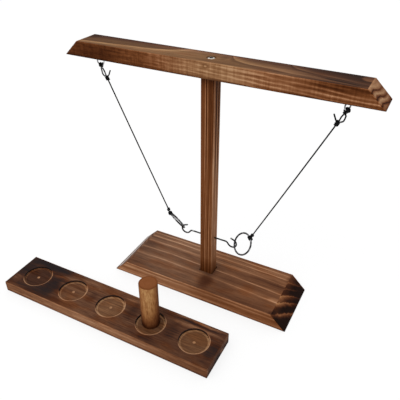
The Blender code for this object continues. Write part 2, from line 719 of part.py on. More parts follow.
def recess_profile():
    """A shallow round recess with an eased rim and the drill's centre mark in its floor."""
    radius = RECESS_DIAMETER / 2
    mark = DRILL_MARK_DIAMETER / 2
    wide = radius + RECESS_RIM_EASE
    return [(0, wide), (wide + wide, wide), (wide, 0), (radius, -RECESS_RIM_EASE), (radius, -RECESS_DEPTH),
            (mark, -RECESS_DEPTH), (0, -RECESS_DEPTH - DRILL_MARK_DEPTH)]


def recess_x(index):
    """Place of a recess along the tray, counted from the left."""
    return (index - (RECESS_COUNT - 1) / 2) * RECESS_PITCH


def build_tray(table):
    """Tray with a row of recesses, and the peg standing in one of them."""
    tray = add_object("tray", board("tray", TRAY_LENGTH, TRAY_WIDTH, TRAY_THICKNESS), table, finish=DARK_WOOD)
    places = [Matrix.Translation((recess_x(i), 0, TRAY_THICKNESS)) for i in range(RECESS_COUNT)]
    recess = turned_bmesh(recess_profile(), ROUND_SIDES)
    cut(tray, add_object("recess_cut", copies("recess_cut", recess, places), table))
    radius = PEG_DIAMETER / 2
    ease = PEG_EDGE_EASE
    profile = [(0, PEG_HEIGHT), (radius - ease, PEG_HEIGHT), (radius, PEG_HEIGHT - ease), (radius, ease),
               (radius - ease, 0), (0, 0)]
    seat = TRAY_THICKNESS - RECESS_DEPTH + SEAT_GAP
    lift = add_frame("peg_lift", table, (recess_x(PEG_RECESS) + PEG_SHIFT_X, PEG_SHIFT_Y, seat))
    add_object("peg", turned("peg", profile, ROUND_SIDES), lift, finish=PEG_WOOD)


def main():
    """Build the stand, both its sides, the tray and the peg."""
    clear_scene()
    x, y, z = stand_place()
    stand = add_frame("stand", location=(x, y, z))
    build_base(stand)
    build_post(stand)
    build_crossbar(stand)
    for side in SIDES:
        build_side(side, stand)
    tray_y = y - BASE_WIDTH / 2 - TRAY_FRONT_GAP - TRAY_WIDTH / 2
    build_tray(add_frame("tray_frame", location=(x + TRAY_SHIFT, tray_y, 0)))
    bpy.context.view_layer.update()


main()
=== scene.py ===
"""Looks of a hook-and-ring game: torched boards, a striped post, plated wire and braided black cord.

Metres, +Z up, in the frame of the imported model. Rows of stops, patches and plumes are in millimetres on their
board. Boards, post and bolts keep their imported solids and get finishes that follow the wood. Wire, cords, knots and
the peg are drawn again as finer surfaces in the same places. Each side of the stand is laid out in its own frame,
which is turned half round the post for the left.
"""

import logging
import math
from dataclasses import dataclass
from enum import Enum
from functools import cached_property
from typing import Any, Mapping, Sequence

import bpy
import numpy as np
from mathutils import Matrix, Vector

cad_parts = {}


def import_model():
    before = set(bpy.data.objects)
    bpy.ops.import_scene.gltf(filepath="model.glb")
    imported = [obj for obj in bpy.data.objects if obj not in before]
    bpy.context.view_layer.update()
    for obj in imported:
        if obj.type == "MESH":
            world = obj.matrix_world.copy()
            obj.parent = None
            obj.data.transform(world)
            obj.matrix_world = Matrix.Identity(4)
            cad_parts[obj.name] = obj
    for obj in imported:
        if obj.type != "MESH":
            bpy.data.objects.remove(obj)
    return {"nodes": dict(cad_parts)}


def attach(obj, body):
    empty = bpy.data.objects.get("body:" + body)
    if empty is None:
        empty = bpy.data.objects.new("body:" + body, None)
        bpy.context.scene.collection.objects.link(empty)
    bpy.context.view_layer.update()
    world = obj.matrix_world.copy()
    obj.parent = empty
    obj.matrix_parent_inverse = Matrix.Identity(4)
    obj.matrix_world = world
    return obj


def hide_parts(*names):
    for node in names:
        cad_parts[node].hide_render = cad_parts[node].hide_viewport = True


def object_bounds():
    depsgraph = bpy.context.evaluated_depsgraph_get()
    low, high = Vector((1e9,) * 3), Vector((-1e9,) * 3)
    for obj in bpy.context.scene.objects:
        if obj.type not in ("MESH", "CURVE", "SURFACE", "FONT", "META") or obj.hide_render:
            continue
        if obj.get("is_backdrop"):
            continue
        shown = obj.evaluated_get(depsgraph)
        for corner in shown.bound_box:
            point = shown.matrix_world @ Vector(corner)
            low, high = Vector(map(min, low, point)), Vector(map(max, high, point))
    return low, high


LOG = logging.getLogger("ring_toss")
FULL_TURN = 2.0 * math.pi
MM = 0.001
TONES = (0.010, 0.060, 0.165, 0.250, 0.380, 0.520)
LIGHT_LEVEL = 1.35
X_AXIS, Y_AXIS, Z_AXIS = np.eye(3)

Stops = tuple[tuple[float, float], ...]
Colour = tuple[float, float, float]
Point = tuple[float, float, float]


class Side(Enum):
    """The two sides of the stand, each with its turn about the post in degrees."""

    RIGHT = 0.0
    LEFT = 180.0

    def named(self, piece: str) -> str:
        """Name of a piece of this side."""
        return f"{self.name.lower()}_{piece}"


class Slot(Enum):
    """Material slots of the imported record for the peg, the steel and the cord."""

    PEG = "peg_wood"
    STEEL = "plated_steel"
    CORD = "black_cord"


# Shader expressions


class Signal:
    """A shader socket that takes part in Python expressions by adding nodes to its graph."""

    def __init__(self, graph: "Graph", socket: bpy.types.NodeSocket) -> None:
        """Keep the graph and the output socket."""
        self.graph = graph
        self.socket = socket

    def __add__(self, other: "Signal | float") -> "Signal":
        """Sum."""
        return self.graph.maths("ADD", self, other)

    def __sub__(self, other: "Signal | float") -> "Signal":
        """Difference."""
        return self.graph.maths("SUBTRACT", self, other)

    def __rsub__(self, other: float) -> "Signal":
        """Difference from a number."""
        return self.graph.maths("SUBTRACT", other, self)

    def __mul__(self, other: "Signal | float") -> "Signal":
        """Product."""
        return self.graph.maths("MULTIPLY", self, other)

    def __truediv__(self, other: "Signal | float") -> "Signal":
        """Quotient."""
        return self.graph.maths("DIVIDE", self, other)

    def __pow__(self, other: float) -> "Signal":
        """Power."""
        return self.graph.maths("POWER", self, other)

    def __abs__(self) -> "Signal":
        """Size without its sign."""
        return self.graph.maths("ABSOLUTE", self, 0.0)

    __radd__ = __add__
    __rmul__ = __mul__

    def step(self, start: float, end: float) -> "Signal":
        """Smooth step from 0 at start to 1 at end."""
        inputs = {"Value": self, "From Min": start, "From Max": end}
        return self.graph.add("ShaderNodeMapRange", {"interpolation_type": "SMOOTHSTEP"}, inputs)

    def profile(self, stops: Stops, unit: float = 1.0) -> "Signal":
        """Level along a row of stops, in straight lines from stop to stop.

        Args:
            stops: Pairs of place and level, in rising order.
            unit: What the places are multiplied by to be in the unit of the signal.

        Returns:
            The level.
        """
        first, span = stops[0][0], stops[-1][0] - stops[0][0]
        low = min(0.0, *(level for _, level in stops))
        grey = [((place - first) / span, (level - low,) * 3) for place, level in stops]
        share = (self - first * unit) / (span * unit)
        return self.graph.add("ShaderNodeValToRGB", {"stops": grey}, {0: share}) + low

    def along(self, stops: Stops) -> "Signal":
        """Level along a row of stops in millimetres, at a signal in metres."""
        return self.profile(stops, MM)

    def blend(self, first: "Signal | float", second: "Signal | float") -> "Signal":
        """Two numbers mixed by this share of the second."""
        return self.graph.add("ShaderNodeMix", {"data_type": "FLOAT"}, {0: self, 2: first, 3: second}, 0)

    def mix(self, first: Any, second: Any) -> "Signal":
        """Two colours mixed by this share of the second."""
        return self.graph.add("ShaderNodeMix", {"data_type": "RGBA"}, {0: self, 6: first, 7: second}, 2)

    def bump(self, strength: float, distance: float) -> "Signal":
        """A normal from this height."""
        inputs = {"Height": self, "Strength": strength, "Distance": distance}
        return self.graph.add("ShaderNodeBump", {}, inputs, "Normal")


class Graph:
    """A node tree that is filled by expressions on its sockets."""

    def __init__(self, tree: bpy.types.NodeTree) -> None:
        """Keep the tree."""
        self.tree = tree

    def add(self, kind: str, settings: Mapping[str, Any], inputs: Mapping[Any, Any], output: Any = 0) -> Signal:
        """Add one node.

        Args:
            kind: The node's type.
            settings: Properties to set first. A ramp's stops are (place, colour) pairs.
            inputs: Values or signals by socket name or number.
            output: Name or number of the socket to return.

        Returns:
            The chosen output as a signal.
        """
        node = self.tree.nodes.new(kind)
        for key, value in settings.items():
            if key == "stops":
                self._fill(node.color_ramp, value)
            else:
                setattr(node, key, value)
        for key, value in inputs.items():
            self.feed(node.inputs[key], value)
        return Signal(self, node.outputs[output])

    @staticmethod
    def _fill(ramp: bpy.types.ColorRamp, stops: Sequence[tuple[float, Colour]]) -> None:
        """Write a ramp's stops, first and last into the two that it starts with."""
        ramp.elements[0].position, ramp.elements[-1].position = stops[0][0], stops[-1][0]
        for place, _ in stops[1:-1]:
            ramp.elements.new(place)
        for element, (_, colour) in zip(ramp.elements, stops):
            element.color = (*colour, 1.0)

    def feed(self, socket: bpy.types.NodeSocket, value: Any) -> None:
        """Link a signal to a socket, or set the socket's own value."""
        if isinstance(value, Signal):
            self.tree.links.new(value.socket, socket)
        else:
            socket.default_value = value

    def maths(self, operation: str, first: Any, second: Any = 0.0, third: Any = 0.0) -> Signal:
        """Add a Math node."""
        settings = {"operation": operation}
        return self.add("ShaderNodeMath", settings, {0: first, 1: second, 2: third})

    def noise(self, x: Any, y: Any, z: Any, detail: float = 2.0, roughness: float = 0.5) -> Signal:
        """Smooth noise between 0 and 1 with features about one unit across."""
        point = self.add("ShaderNodeCombineXYZ", {}, {0: x, 1: y, 2: z})
        inputs = {"Vector": point, "Scale": 1.0, "Detail": detail, "Roughness": roughness}
        return self.add("ShaderNodeTexNoise", {}, inputs)


class MaterialGraph(Graph):
    """The node tree of one material, with its Principled shader and the coordinates of its piece."""

    def __init__(self, name: str, centre: Point = (0.0, 0.0, 0.0)) -> None:
        """Make the material of a piece with a centre."""
        self.material = bpy.data.materials.new(name)
        self.material.use_nodes = True
        super().__init__(self.material.node_tree)
        self.centre = centre

    @cached_property
    def place(self) -> tuple[Signal, Signal, Signal]:
        """Coordinates on the piece in metres, from its centre."""
        point = self.add("ShaderNodeTexCoord", {}, {}, "Object")
        moved = self.add("ShaderNodeVectorMath", {"operation": "SUBTRACT"}, {0: point, 1: self.centre})
        return tuple(self.add("ShaderNodeSeparateXYZ", {}, {0: moved}, axis) for axis in range(3))

    def cloud(self, *scales: float, detail: float = 2.0, roughness: float = 0.5) -> Signal:
        """Noise about 0, by how many of its features fill a metre along each axis."""
        parts = [part * scale for part, scale in zip(self.place, scales)]
        return self.noise(*parts, detail, roughness) - 0.5

    def surface(self, **inputs: Any) -> None:
        """Feed sockets of the Principled shader, with spaces written as underscores."""
        shader = self.tree.nodes["Principled BSDF"]
        for key, value in inputs.items():
            self.feed(shader.inputs[key.replace("_", " ")], value)


# Finishes


class Stain(Enum):
    """Rows of stain from charred to bare wood: its green and its blue light at each of the tones.

    A tone is the share of red light that the wood sends to the eye.
    """

    PLAIN = ((0.0046, 0.0225, 0.0740, 0.1220, 0.2060, 0.3150), (0.0032, 0.0115, 0.0365, 0.0615, 0.1100, 0.1900))
    RED = ((0.0026, 0.0135, 0.0500, 0.0915, 0.1680, 0.2700), (0.0006, 0.0016, 0.0128, 0.0335, 0.0760, 0.1400))
    COOL = ((0.0052, 0.0270, 0.0800, 0.1290, 0.2120, 0.3250), (0.0042, 0.0165, 0.0440, 0.0720, 0.1250, 0.2100))
    OLIVE = ((0.0046, 0.0245, 0.0790, 0.1290, 0.2150, 0.3250), (0.0026, 0.0095, 0.0310, 0.0530, 0.0960, 0.1700))
    GOLD = ((0.0025, 0.0150, 0.0550, 0.0930, 0.1680, 0.2750), (0.0007, 0.0038, 0.0175, 0.0295, 0.0570, 0.1050))

    def colour(self, tone: Signal) -> Signal:
        """Colour of a tone from 0 to 0.5."""
        rows = zip(TONES, *self.value)
        stops = [(2.0 * row[0], tuple(part / LIGHT_LEVEL for part in row)) for row in rows]
        return tone.graph.add("ShaderNodeValToRGB", {"stops": stops}, {0: tone * 2.0})


@dataclass(frozen=True)
class Mark:
    """A soft patch on a face, in millimetres: an ellipse about a line that slopes.

    Change is the factor of the tone in its core, whose size is given as a share of the ellipse.
    """

    x: float
    y: float
    reach: float
    width: float
    change: float
    slope: float = 0.0
    core: float = 0.25


@dataclass(frozen=True)
class Plume:
    """One flame of the figure, in millimetres.

    Front is its curve across the face. Change is the factor of the tone by the distance above that curve.
    """

    front: Stops
    change: Stops


@dataclass(frozen=True)
class Wood:
    """What all the woods share: fibres along the grain, patches, layers of stain and a dull coat."""

    name: str
    centre: Point
    upright: bool = False
    fibre_scale: float = 760.0
    streak_scale: float = 300.0
    along_scale: float = 9.0
    fibre_depth: float = 0.60
    streak_depth: float = 0.70
    roughness: float = 0.78
    bare_gloss: float = 0.5
    fibre_gloss: float = 0.20
    specular: float = 0.05
    relief: float = 0.16
    relief_depth: float = 0.0004

    def material(self) -> bpy.types.Material:
        """Make the material, with gloss and relief from the fibres and duller where it is charred."""
        graph = MaterialGraph(self.name, self.centre)
        grain, fibre = self.streaks(graph)
        tone, colour = self.figure(graph, grain)
        gloss = self.roughness - self.bare_gloss * tone + (fibre - 0.5) * self.fibre_gloss
        graph.surface(Base_Color=colour, Roughness=gloss, Normal=fibre.bump(self.relief, self.relief_depth),
                      Specular_IOR_Level=self.specular)
        return graph.material

    def figure(self, graph: MaterialGraph, grain: Signal) -> tuple[Signal, Signal]:
        """Tone and colour of the wood, which each kind makes in its own way.

        Args:
            graph: Material to add to.
            grain: Factor of streaks and fibres.

        Returns:
            The tone and the colour.
        """
        raise NotImplementedError

    def streaks(self, graph: MaterialGraph) -> tuple[Signal, Signal]:
        """Long streaks and fine fibres, which are noise stretched along the grain.

        Args:
            graph: Material to add to.

        Returns:
            A factor about 1 for the tone, and the fibres' height.
        """
        x, y, z = graph.place
        along, first, second = (z, x, y) if self.upright else (x, y, z)
        wide, fine = self.streak_scale, self.fibre_scale
        streak = graph.noise(along * self.along_scale, first * wide, second * wide, 4.0, 0.6)
        fibre = graph.noise(along * (6.0 * self.along_scale), first * fine, second * fine, 3.0, 0.7)
        share = (streak - 0.5) * (2.0 * self.streak_depth) + (fibre - 0.5) * (2.0 * self.fibre_depth)
        return share + 1.0, fibre

    @staticmethod
    def tint(graph: MaterialGraph) -> Signal:
        """Share of redder stain, which comes and goes over the board."""
        return graph.cloud(26, 75, 75, detail=3.0).step(-0.06, 0.16) * 0.7

    @staticmethod
    def marked(x: Signal, y: Signal, tone: Signal, marks: Sequence[Mark]) -> Signal:
        """Change the tone of a face by patches.

        Args:
            x: Coordinate along the face.
            y: Coordinate across it.
            tone: Tone without the patches.
            marks: The patches.

        Returns:
            The tone with them.
        """
        for mark in marks:
            along = x - mark.x * MM
            aside = y - mark.y * MM - along * mark.slope
            far, wide = along / (mark.reach * MM), aside / (mark.width * MM)
            cover = ((far * far + wide * wide)**0.5).step(1.0, mark.core)
            tone = tone * (cover * (mark.change - 1.0) + 1.0)
        return tone

    @staticmethod
    def flank(offset: Signal, size: float) -> Signal:
        """Share of the two faces that close a board of a size, from the middle of their eased edges."""
        return abs(offset).step(size / 2 - 0.0011, size / 2 - 0.0004)

    @staticmethod
    def stained(tone: Signal, *layers: tuple[Signal, Stain]) -> Signal:
        """Colour of a tone in the plain stain, under layers of others by their shares."""
        colour = Stain.PLAIN.colour(tone)
        for share, stain in layers:
            colour = share.mix(colour, stain.colour(tone))
        return colour


@dataclass(frozen=True, kw_only=True)
class SlopedBoard(Wood):
    """A board along X whose two ends are cut to a slope."""

    length: float
    width: float
    thickness: float
    bevel_run: float

    def slopes(self, graph: MaterialGraph) -> tuple[Signal, Signal]:
        """Shares of the right and the left sloped end."""
        x, _, z = graph.place
        run = z * (self.bevel_run / self.thickness)
        return tuple((self.length / 2 - x * way - run).step(0.0016, 0.0006) for way in (1.0, -1.0))


@dataclass(frozen=True)
class BaseWood(SlopedBoard):
    """Base board: light top lines, orange edges, a charred right end, a lacquered left end and a painted reflection
    of the post.
    """

    length: float = 0.277
    width: float = 0.091
    thickness: float = 0.0215
    bevel_run: float = 0.0215
    lacquer_roughness: float = 0.30
    year_pitch: float = 0.0068
    line_drift: Stops = ((-138.5, 0.8), (-65, -1.2), (-15, 0.6), (15, 0), (60, 1.8), (138.5, 6.2))
    drift_share: Stops = ((-45.5, 1.1), (-15, 1.05), (2, 0.9), (20, 0.4), (45.5, 0.3))
    line_tones: Stops = (
        (-46, 0.13), (-40, 0.155), (-30, 0.165), (-22, 0.155), (-18.5, 0.165), (-16.5, 0.2), (-15.3, 0.33),
        (-14.1, 0.195), (-11, 0.155), (-6, 0.135), (-1, 0.13), (0.8, 0.18), (1.9, 0.39), (3.1, 0.2), (6.2, 0.15),
        (10, 0.13), (15, 0.14), (18, 0.19), (19.4, 0.37), (20.8, 0.22), (24.5, 0.185), (28.5, 0.175), (30.3, 0.23),
        (31.3, 0.42), (32.6, 0.22), (36.2, 0.18), (38.2, 0.23), (39.2, 0.4), (40.5, 0.19), (46, 0.13))
    lengthwise: Stops = ((-138.5, 0.7), (-105, 0.76), (-85, 0.92), (-50, 1), (-10, 1), (30, 0.9), (138.5, 0.92))
    edge_tones: Stops = (
        (0, 0.07), (1.2, 0.13), (3, 0.235), (5, 0.265), (7.5, 0.2), (10, 0.175), (13, 0.195), (15.8, 0.3),
        (17.5, 0.21), (19.8, 0.2), (20.8, 0.31), (22, 0.3))
    edge_lengthwise: Stops = (
        (-138.5, 1.62), (-50, 1.45), (-10, 1.38), (15, 1.02), (70, 0.98), (100, 0.94), (138.5, 0.8))
    cool_share: Stops = ((-138.5, 1), (-30, 0.85), (20, 0.1), (138.5, 0))
    ruddy_share: Stops = ((-138.5, 0), (0, 0.05), (50, 0.25), (138.5, 0.35))
    lacquer_levels: Stops = ((-6, 0), (2.4, 0.1), (4, 0.8), (6, 1), (9.2, 0.9), (11.5, 0))
    year_tones: Stops = (
        (-30, 0.012), (-15, 0.009), (-9.8, 0.025), (-7, 0.12), (-4.6, 0.29), (-3.4, 0.05), (-1.8, 0.012),
        (3, 0.012), (5, 0.045), (7.4, 0.17), (8.8, 0.33), (9.7, 0.07), (12, 0.02), (14.8, 0.06), (17.2, 0.11),
        (18.8, 0.26), (19.6, 0.04), (22.5, 0.012), (27.6, 0.01), (29.4, 0.08), (30.3, 0.015), (34.5, 0.008),
        (37, 0.03), (39, 0.14), (40, 0.045), (44, 0.012), (60, 0.03))
    year_crown: Stops = ((0, 0.5), (10, 0.65), (21.5, 1.1))
    year_glow: Stops = (
        (-30, 0.015), (0, 0.03), (9.8, 0.03), (11.4, 0.125), (16.8, 0.115), (20, 0.03), (33, 0.03), (42, 0.06),
        (60, 0.06))
    marks: tuple[Mark, ...] = (
        # The first mark, in front of the post's foot, is a painted reflection: the dark post mirrored in the board's
        # gloss.
        Mark(8, -25, 15, 27, 0.46), Mark(30, -26, 34, 24, 0.74), Mark(82, -38, 62, 12, 0.66),
        Mark(113, -17, 15, 7, 1.5), Mark(100, 15, 52, 10, 0.6), Mark(-106, 11, 17, 14, 0.82),
        Mark(-44, 12, 16, 6, 0.82), Mark(-98, -33, 24, 9, 0.88), Mark(60, -8, 60, 5, 0.8), Mark(2, 4, 24, 18, 0.74),
        Mark(119, 33, 9, 16, 0.55), Mark(119, -42, 12, 9, 0.5))

    def figure(self, graph: MaterialGraph, grain: Signal) -> tuple[Signal, Signal]:
        """Tone and colour of the board."""
        x, y, z = graph.place
        wander = graph.cloud(16, 25, 25)
        drift = x.along(self.line_drift) * MM * y.along(self.drift_share)
        lines = (y + drift + wander * 0.0018).along(self.line_tones)
        top = self.marked(x, y + wander * 0.006, lines * x.along(self.lengthwise), self.marks)
        edge = (z + wander * 0.003).along(self.edge_tones) * x.along(self.edge_lengthwise)
        side = self.flank(y, self.width)
        right, left = self.slopes(graph)
        tone = side.blend(top, edge) * grain
        tone = right.blend(tone, self.burnt_end(graph) * (grain * 0.5 + 0.5))
        rings = graph.maths("SINE", (z + y * 0.5 + y * y * 2.2 + wander * 0.010) * (FULL_TURN / self.year_pitch))
        tone = left.blend(tone, (rings * 0.04 + 0.13) * grain)
        ruddy = self.tint(graph) * 0.6 + x.along(self.ruddy_share)
        colour = self.stained(tone, (x.along(self.cool_share), Stain.COOL),
                              (graph.maths("MAXIMUM", side * 0.95, ruddy), Stain.RED), (right * 0.6, Stain.GOLD))
        sunk = y.step(0.035, -0.030) * 0.0030
        lacquer = (z + wander * 0.002 - sunk).along(self.lacquer_levels)
        graph.surface(Coat_Weight=left * lacquer, Coat_Roughness=self.lacquer_roughness)
        return tone, colour

    def burnt_end(self, graph: MaterialGraph) -> Signal:
        """Tone of the burnt end: wavy tan year rings that fall towards the back, under a golden top edge."""
        _, y, z = graph.place
        wave = graph.cloud(60, 170, 170, detail=3.0, roughness=0.6)
        ring = z + y * 0.66 + y * y * 2.2 + wave * 0.0072
        low = z.step(0.013, 0.003) * y.step(-0.006, 0.012)
        bands = ring.along(self.year_tones) * z.along(self.year_crown) * (1.0 - low * 0.65)
        glow = ring.along(self.year_glow) * (z + wave * 0.004).step(0.0120, 0.0210)
        corner = y.step(-0.0300, -0.0420) * z.step(0.0080, 0.0140)
        return (bands + glow) * (1.0 - corner * 0.75) + y.step(0.0425, 0.0455) * 0.10


@dataclass(frozen=True)
class CrossbarWood(SlopedBoard):
    """Crossbar: striped front that reddens to its ends, a top of nested plumes and a tan end with dark waves."""

    length: float = 0.400
    width: float = 0.038
    thickness: float = 0.0195
    bevel_run: float = 0.0205
    stripe_pitch: float = 0.0047
    stripe_tilt: float = 0.052
    stripe_depth: Stops = ((-200, 0.15), (-100, 0.25), (-40, 0.4), (30, 0.6), (90, 1.05), (200, 1.3))
    front_lengthwise: Stops = (
        (-200, 0.11), (-130, 0.105), (-75, 0.205), (-26, 0.31), (30, 0.34), (80, 0.29), (130, 0.225), (200, 0.205))
    # Tone of the front by height in millimetres, darker towards the lower edge; the raised last stop is a painted
    # highlight along the top front arris.
    front_upwards: Stops = ((0, 0.24), (1.5, 0.52), (4, 0.95), (6.5, 1.08), (10, 1.02), (18, 1), (19, 1.2))
    top_lengthwise: Stops = (
        (-200, 0.15), (-140, 0.158), (-85, 0.165), (-30, 0.185), (30, 0.16), (95, 0.132), (118, 0.09), (145, 0.062),
        (170, 0.048), (200, 0.055))
    top_across: Stops = ((-19, 1.1), (-17.5, 1), (6, 0.95), (15, 0.74), (19, 0.4))
    ruddy_share: Stops = ((-200, 1), (-60, 0.95), (-20, 0.55), (0, 0.4), (30, 0.45), (70, 0.9), (200, 1))
    end_red: Stops = ((0, 1), (0.1, 1), (0.24, 0.2), (0.36, 0))
    olive_share: Stops = ((-200, 0.4), (-150, 0.9), (30, 0.85), (90, 0.4), (200, 0.3))
    wave_fall: Stops = ((-19, 0), (-13, -0.8), (-5, 0.8), (0, 2.3), (5, 3.3), (19, 4))
    wave_dark: Stops = (
        (0, 0.55), (1.2, 0.1), (3, 0.25), (4.6, 1), (6.2, 0.35), (8, 0), (9.2, 0.55), (10.3, 1), (11.6, 0.6),
        (13, 0), (14.6, 0.45), (16, 1), (17.2, 0.45), (19, 0.05), (21.5, 0.35), (24, 0.05))
    wave_fade: Stops = ((-19, 0.98), (-4, 0.97), (6, 0.84), (19, 0.5))
    wave_light: Stops = ((-19, 0.34), (-10, 0.415), (6, 0.385), (19, 0.255))
    wave_low: Stops = ((0, 0.3), (2, 0.55), (5, 0.9), (8, 1))
    plumes: tuple[Plume, ...] = (
        Plume(((-200, -15), (-178, -12), (-150, -9), (-110, -5.2), (-90, -3.6), (-75, -2),
               (-60, 2), (-48, 8), (-36, 16), (-25, 26), (-10, 40), (200, 40)),
              ((-40, 1), (-16, 1), (-9, 1.12), (-4.5, 1.45), (-1.2, 2.1), (0.2, 1.55), (1.4, 0.7),
               (4, 0.62), (9, 0.74), (18, 0.55), (40, 0.5))),
        Plume(((-200, 40), (12, 40), (19, 20), (22, 11), (27, 4.5), (40, -1), (60, -5),
               (80, -8), (120, -12.5), (200, -19)),
              ((-40, 1), (-9, 1), (-2.5, 0.7), (-0.6, 0.74), (0.8, 1.75), (4, 1.5), (9, 1),
               (16, 0.74), (40, 0.7))),
        Plume(((-200, 40), (82, 40), (89, 20), (93, 12), (101, 7.5), (115, 3), (135, -1.5),
               (165, -6.5), (200, -10)),
              ((-40, 1), (-7, 1), (-1.8, 0.66), (0.6, 1.9), (3.5, 1.4), (8, 0.95), (16, 0.8),
               (40, 0.8))))
    marks: tuple[Mark, ...] = (
        Mark(-135, -16, 44, 3, 0.75, 0.03), Mark(14, 6, 7, 13, 0.8), Mark(-20, 12, 22, 9, 1.15),
        Mark(150, -10.5, 32, 2.6, 0.3, -0.15, 0.4), Mark(176, 11, 10, 11, 4.6, 0, 0.5), Mark(22, -17.5, 66, 2, 1.6),
        Mark(10, -13, 46, 4.5, 0.74), Mark(104, -13, 36, 2.4, 1.35, -0.04), Mark(-173, 10, 14, 12, 0.6))
    front_marks: tuple[Mark, ...] = (
        Mark(2, 15, 6.5, 4, 0.55), Mark(2, 15.2, 2.6, 1.7, 2.2), Mark(-150, 8, 38, 12, 0.72),
        Mark(156, 16, 52, 5.5, 0.46), Mark(-84, 5, 30, 4, 0.85), Mark(50, 16.5, 44, 3.4, 1.25))

    def figure(self, graph: MaterialGraph, grain: Signal) -> tuple[Signal, Signal]:
        """Tone and colour of the bar."""
        x, y, _ = graph.place
        wander = graph.cloud(18, 60, 60, detail=3.0)
        side = self.flank(y, self.width)
        right, left = self.slopes(graph)
        tone = side.blend(self.top(graph, wander), self.front(graph, wander)) * grain
        ends = self.sawn_end(graph) * (grain * 0.4 + 0.6)
        tone = left.blend(right.blend(tone, ends), ends * 0.6)
        end_red = right * tone.profile(self.end_red)
        red = graph.maths("MAXIMUM", side * x.along(self.ruddy_share), end_red)
        red = graph.maths("MAXIMUM", red, self.tint(graph) * 0.45)
        olive = x.along(self.olive_share) * y.step(0.014, 0.005)
        colour = self.stained(tone, (olive, Stain.OLIVE), (red, Stain.RED))
        return tone, colour

    def front(self, graph: MaterialGraph, wander: Signal) -> Signal:
        """Tone of the front: slanting stripes that wander, saw marks across them, blotches to the left and a painted
        highlight on the top arris.
        """
        x, y, z = graph.place
        slanted = (z + x * self.stripe_tilt + wander * 0.0060) * (FULL_TURN / self.stripe_pitch)
        broken = graph.noise(x * 22.0, y * 60.0, z * 320.0) * 1.3
        stripe = ((graph.maths("SINE", slanted + 0.9) * 0.5 + 0.5)**2.0 - 0.375) * broken
        saw = graph.cloud(380, 8, 30, detail=1.0)
        blotch = graph.cloud(160, 160, 260, detail=3.0) * x.step(0.020, -0.080)
        tone = x.along(self.front_lengthwise) * z.along(self.front_upwards)
        tone = tone * (stripe * x.along(self.stripe_depth) + 1.0) * (1.0 + saw * 0.75 + blotch * 1.2)
        return self.marked(x, z, tone, self.front_marks)

    def top(self, graph: MaterialGraph, wander: Signal) -> Signal:
        """Tone of the top: patches, and plumes that change it by the distance above their curves."""
        x, y, _ = graph.place
        figure_x, figure_y = x + wander * 0.010, y + wander * 0.0045
        tone = x.along(self.top_lengthwise)
        for plume in self.plumes:
            above = figure_y / MM - figure_x.along(plume.front)
            tone = tone * above.profile(plume.change)
        return self.marked(figure_x, figure_y, tone, self.marks) * y.along(self.top_across)

    def sawn_end(self, graph: MaterialGraph) -> Signal:
        """Tone of the sawn end: year rings as dark waves that fall towards the back and fade there."""
        _, y, z = graph.place
        ring = z + y.along(self.wave_fall) * MM + graph.cloud(70, 150, 150) * 0.0022
        dark = ring.along(self.wave_dark) * y.along(self.wave_fade)
        return y.along(self.wave_light) * (1.0 - dark) * z.along(self.wave_low)


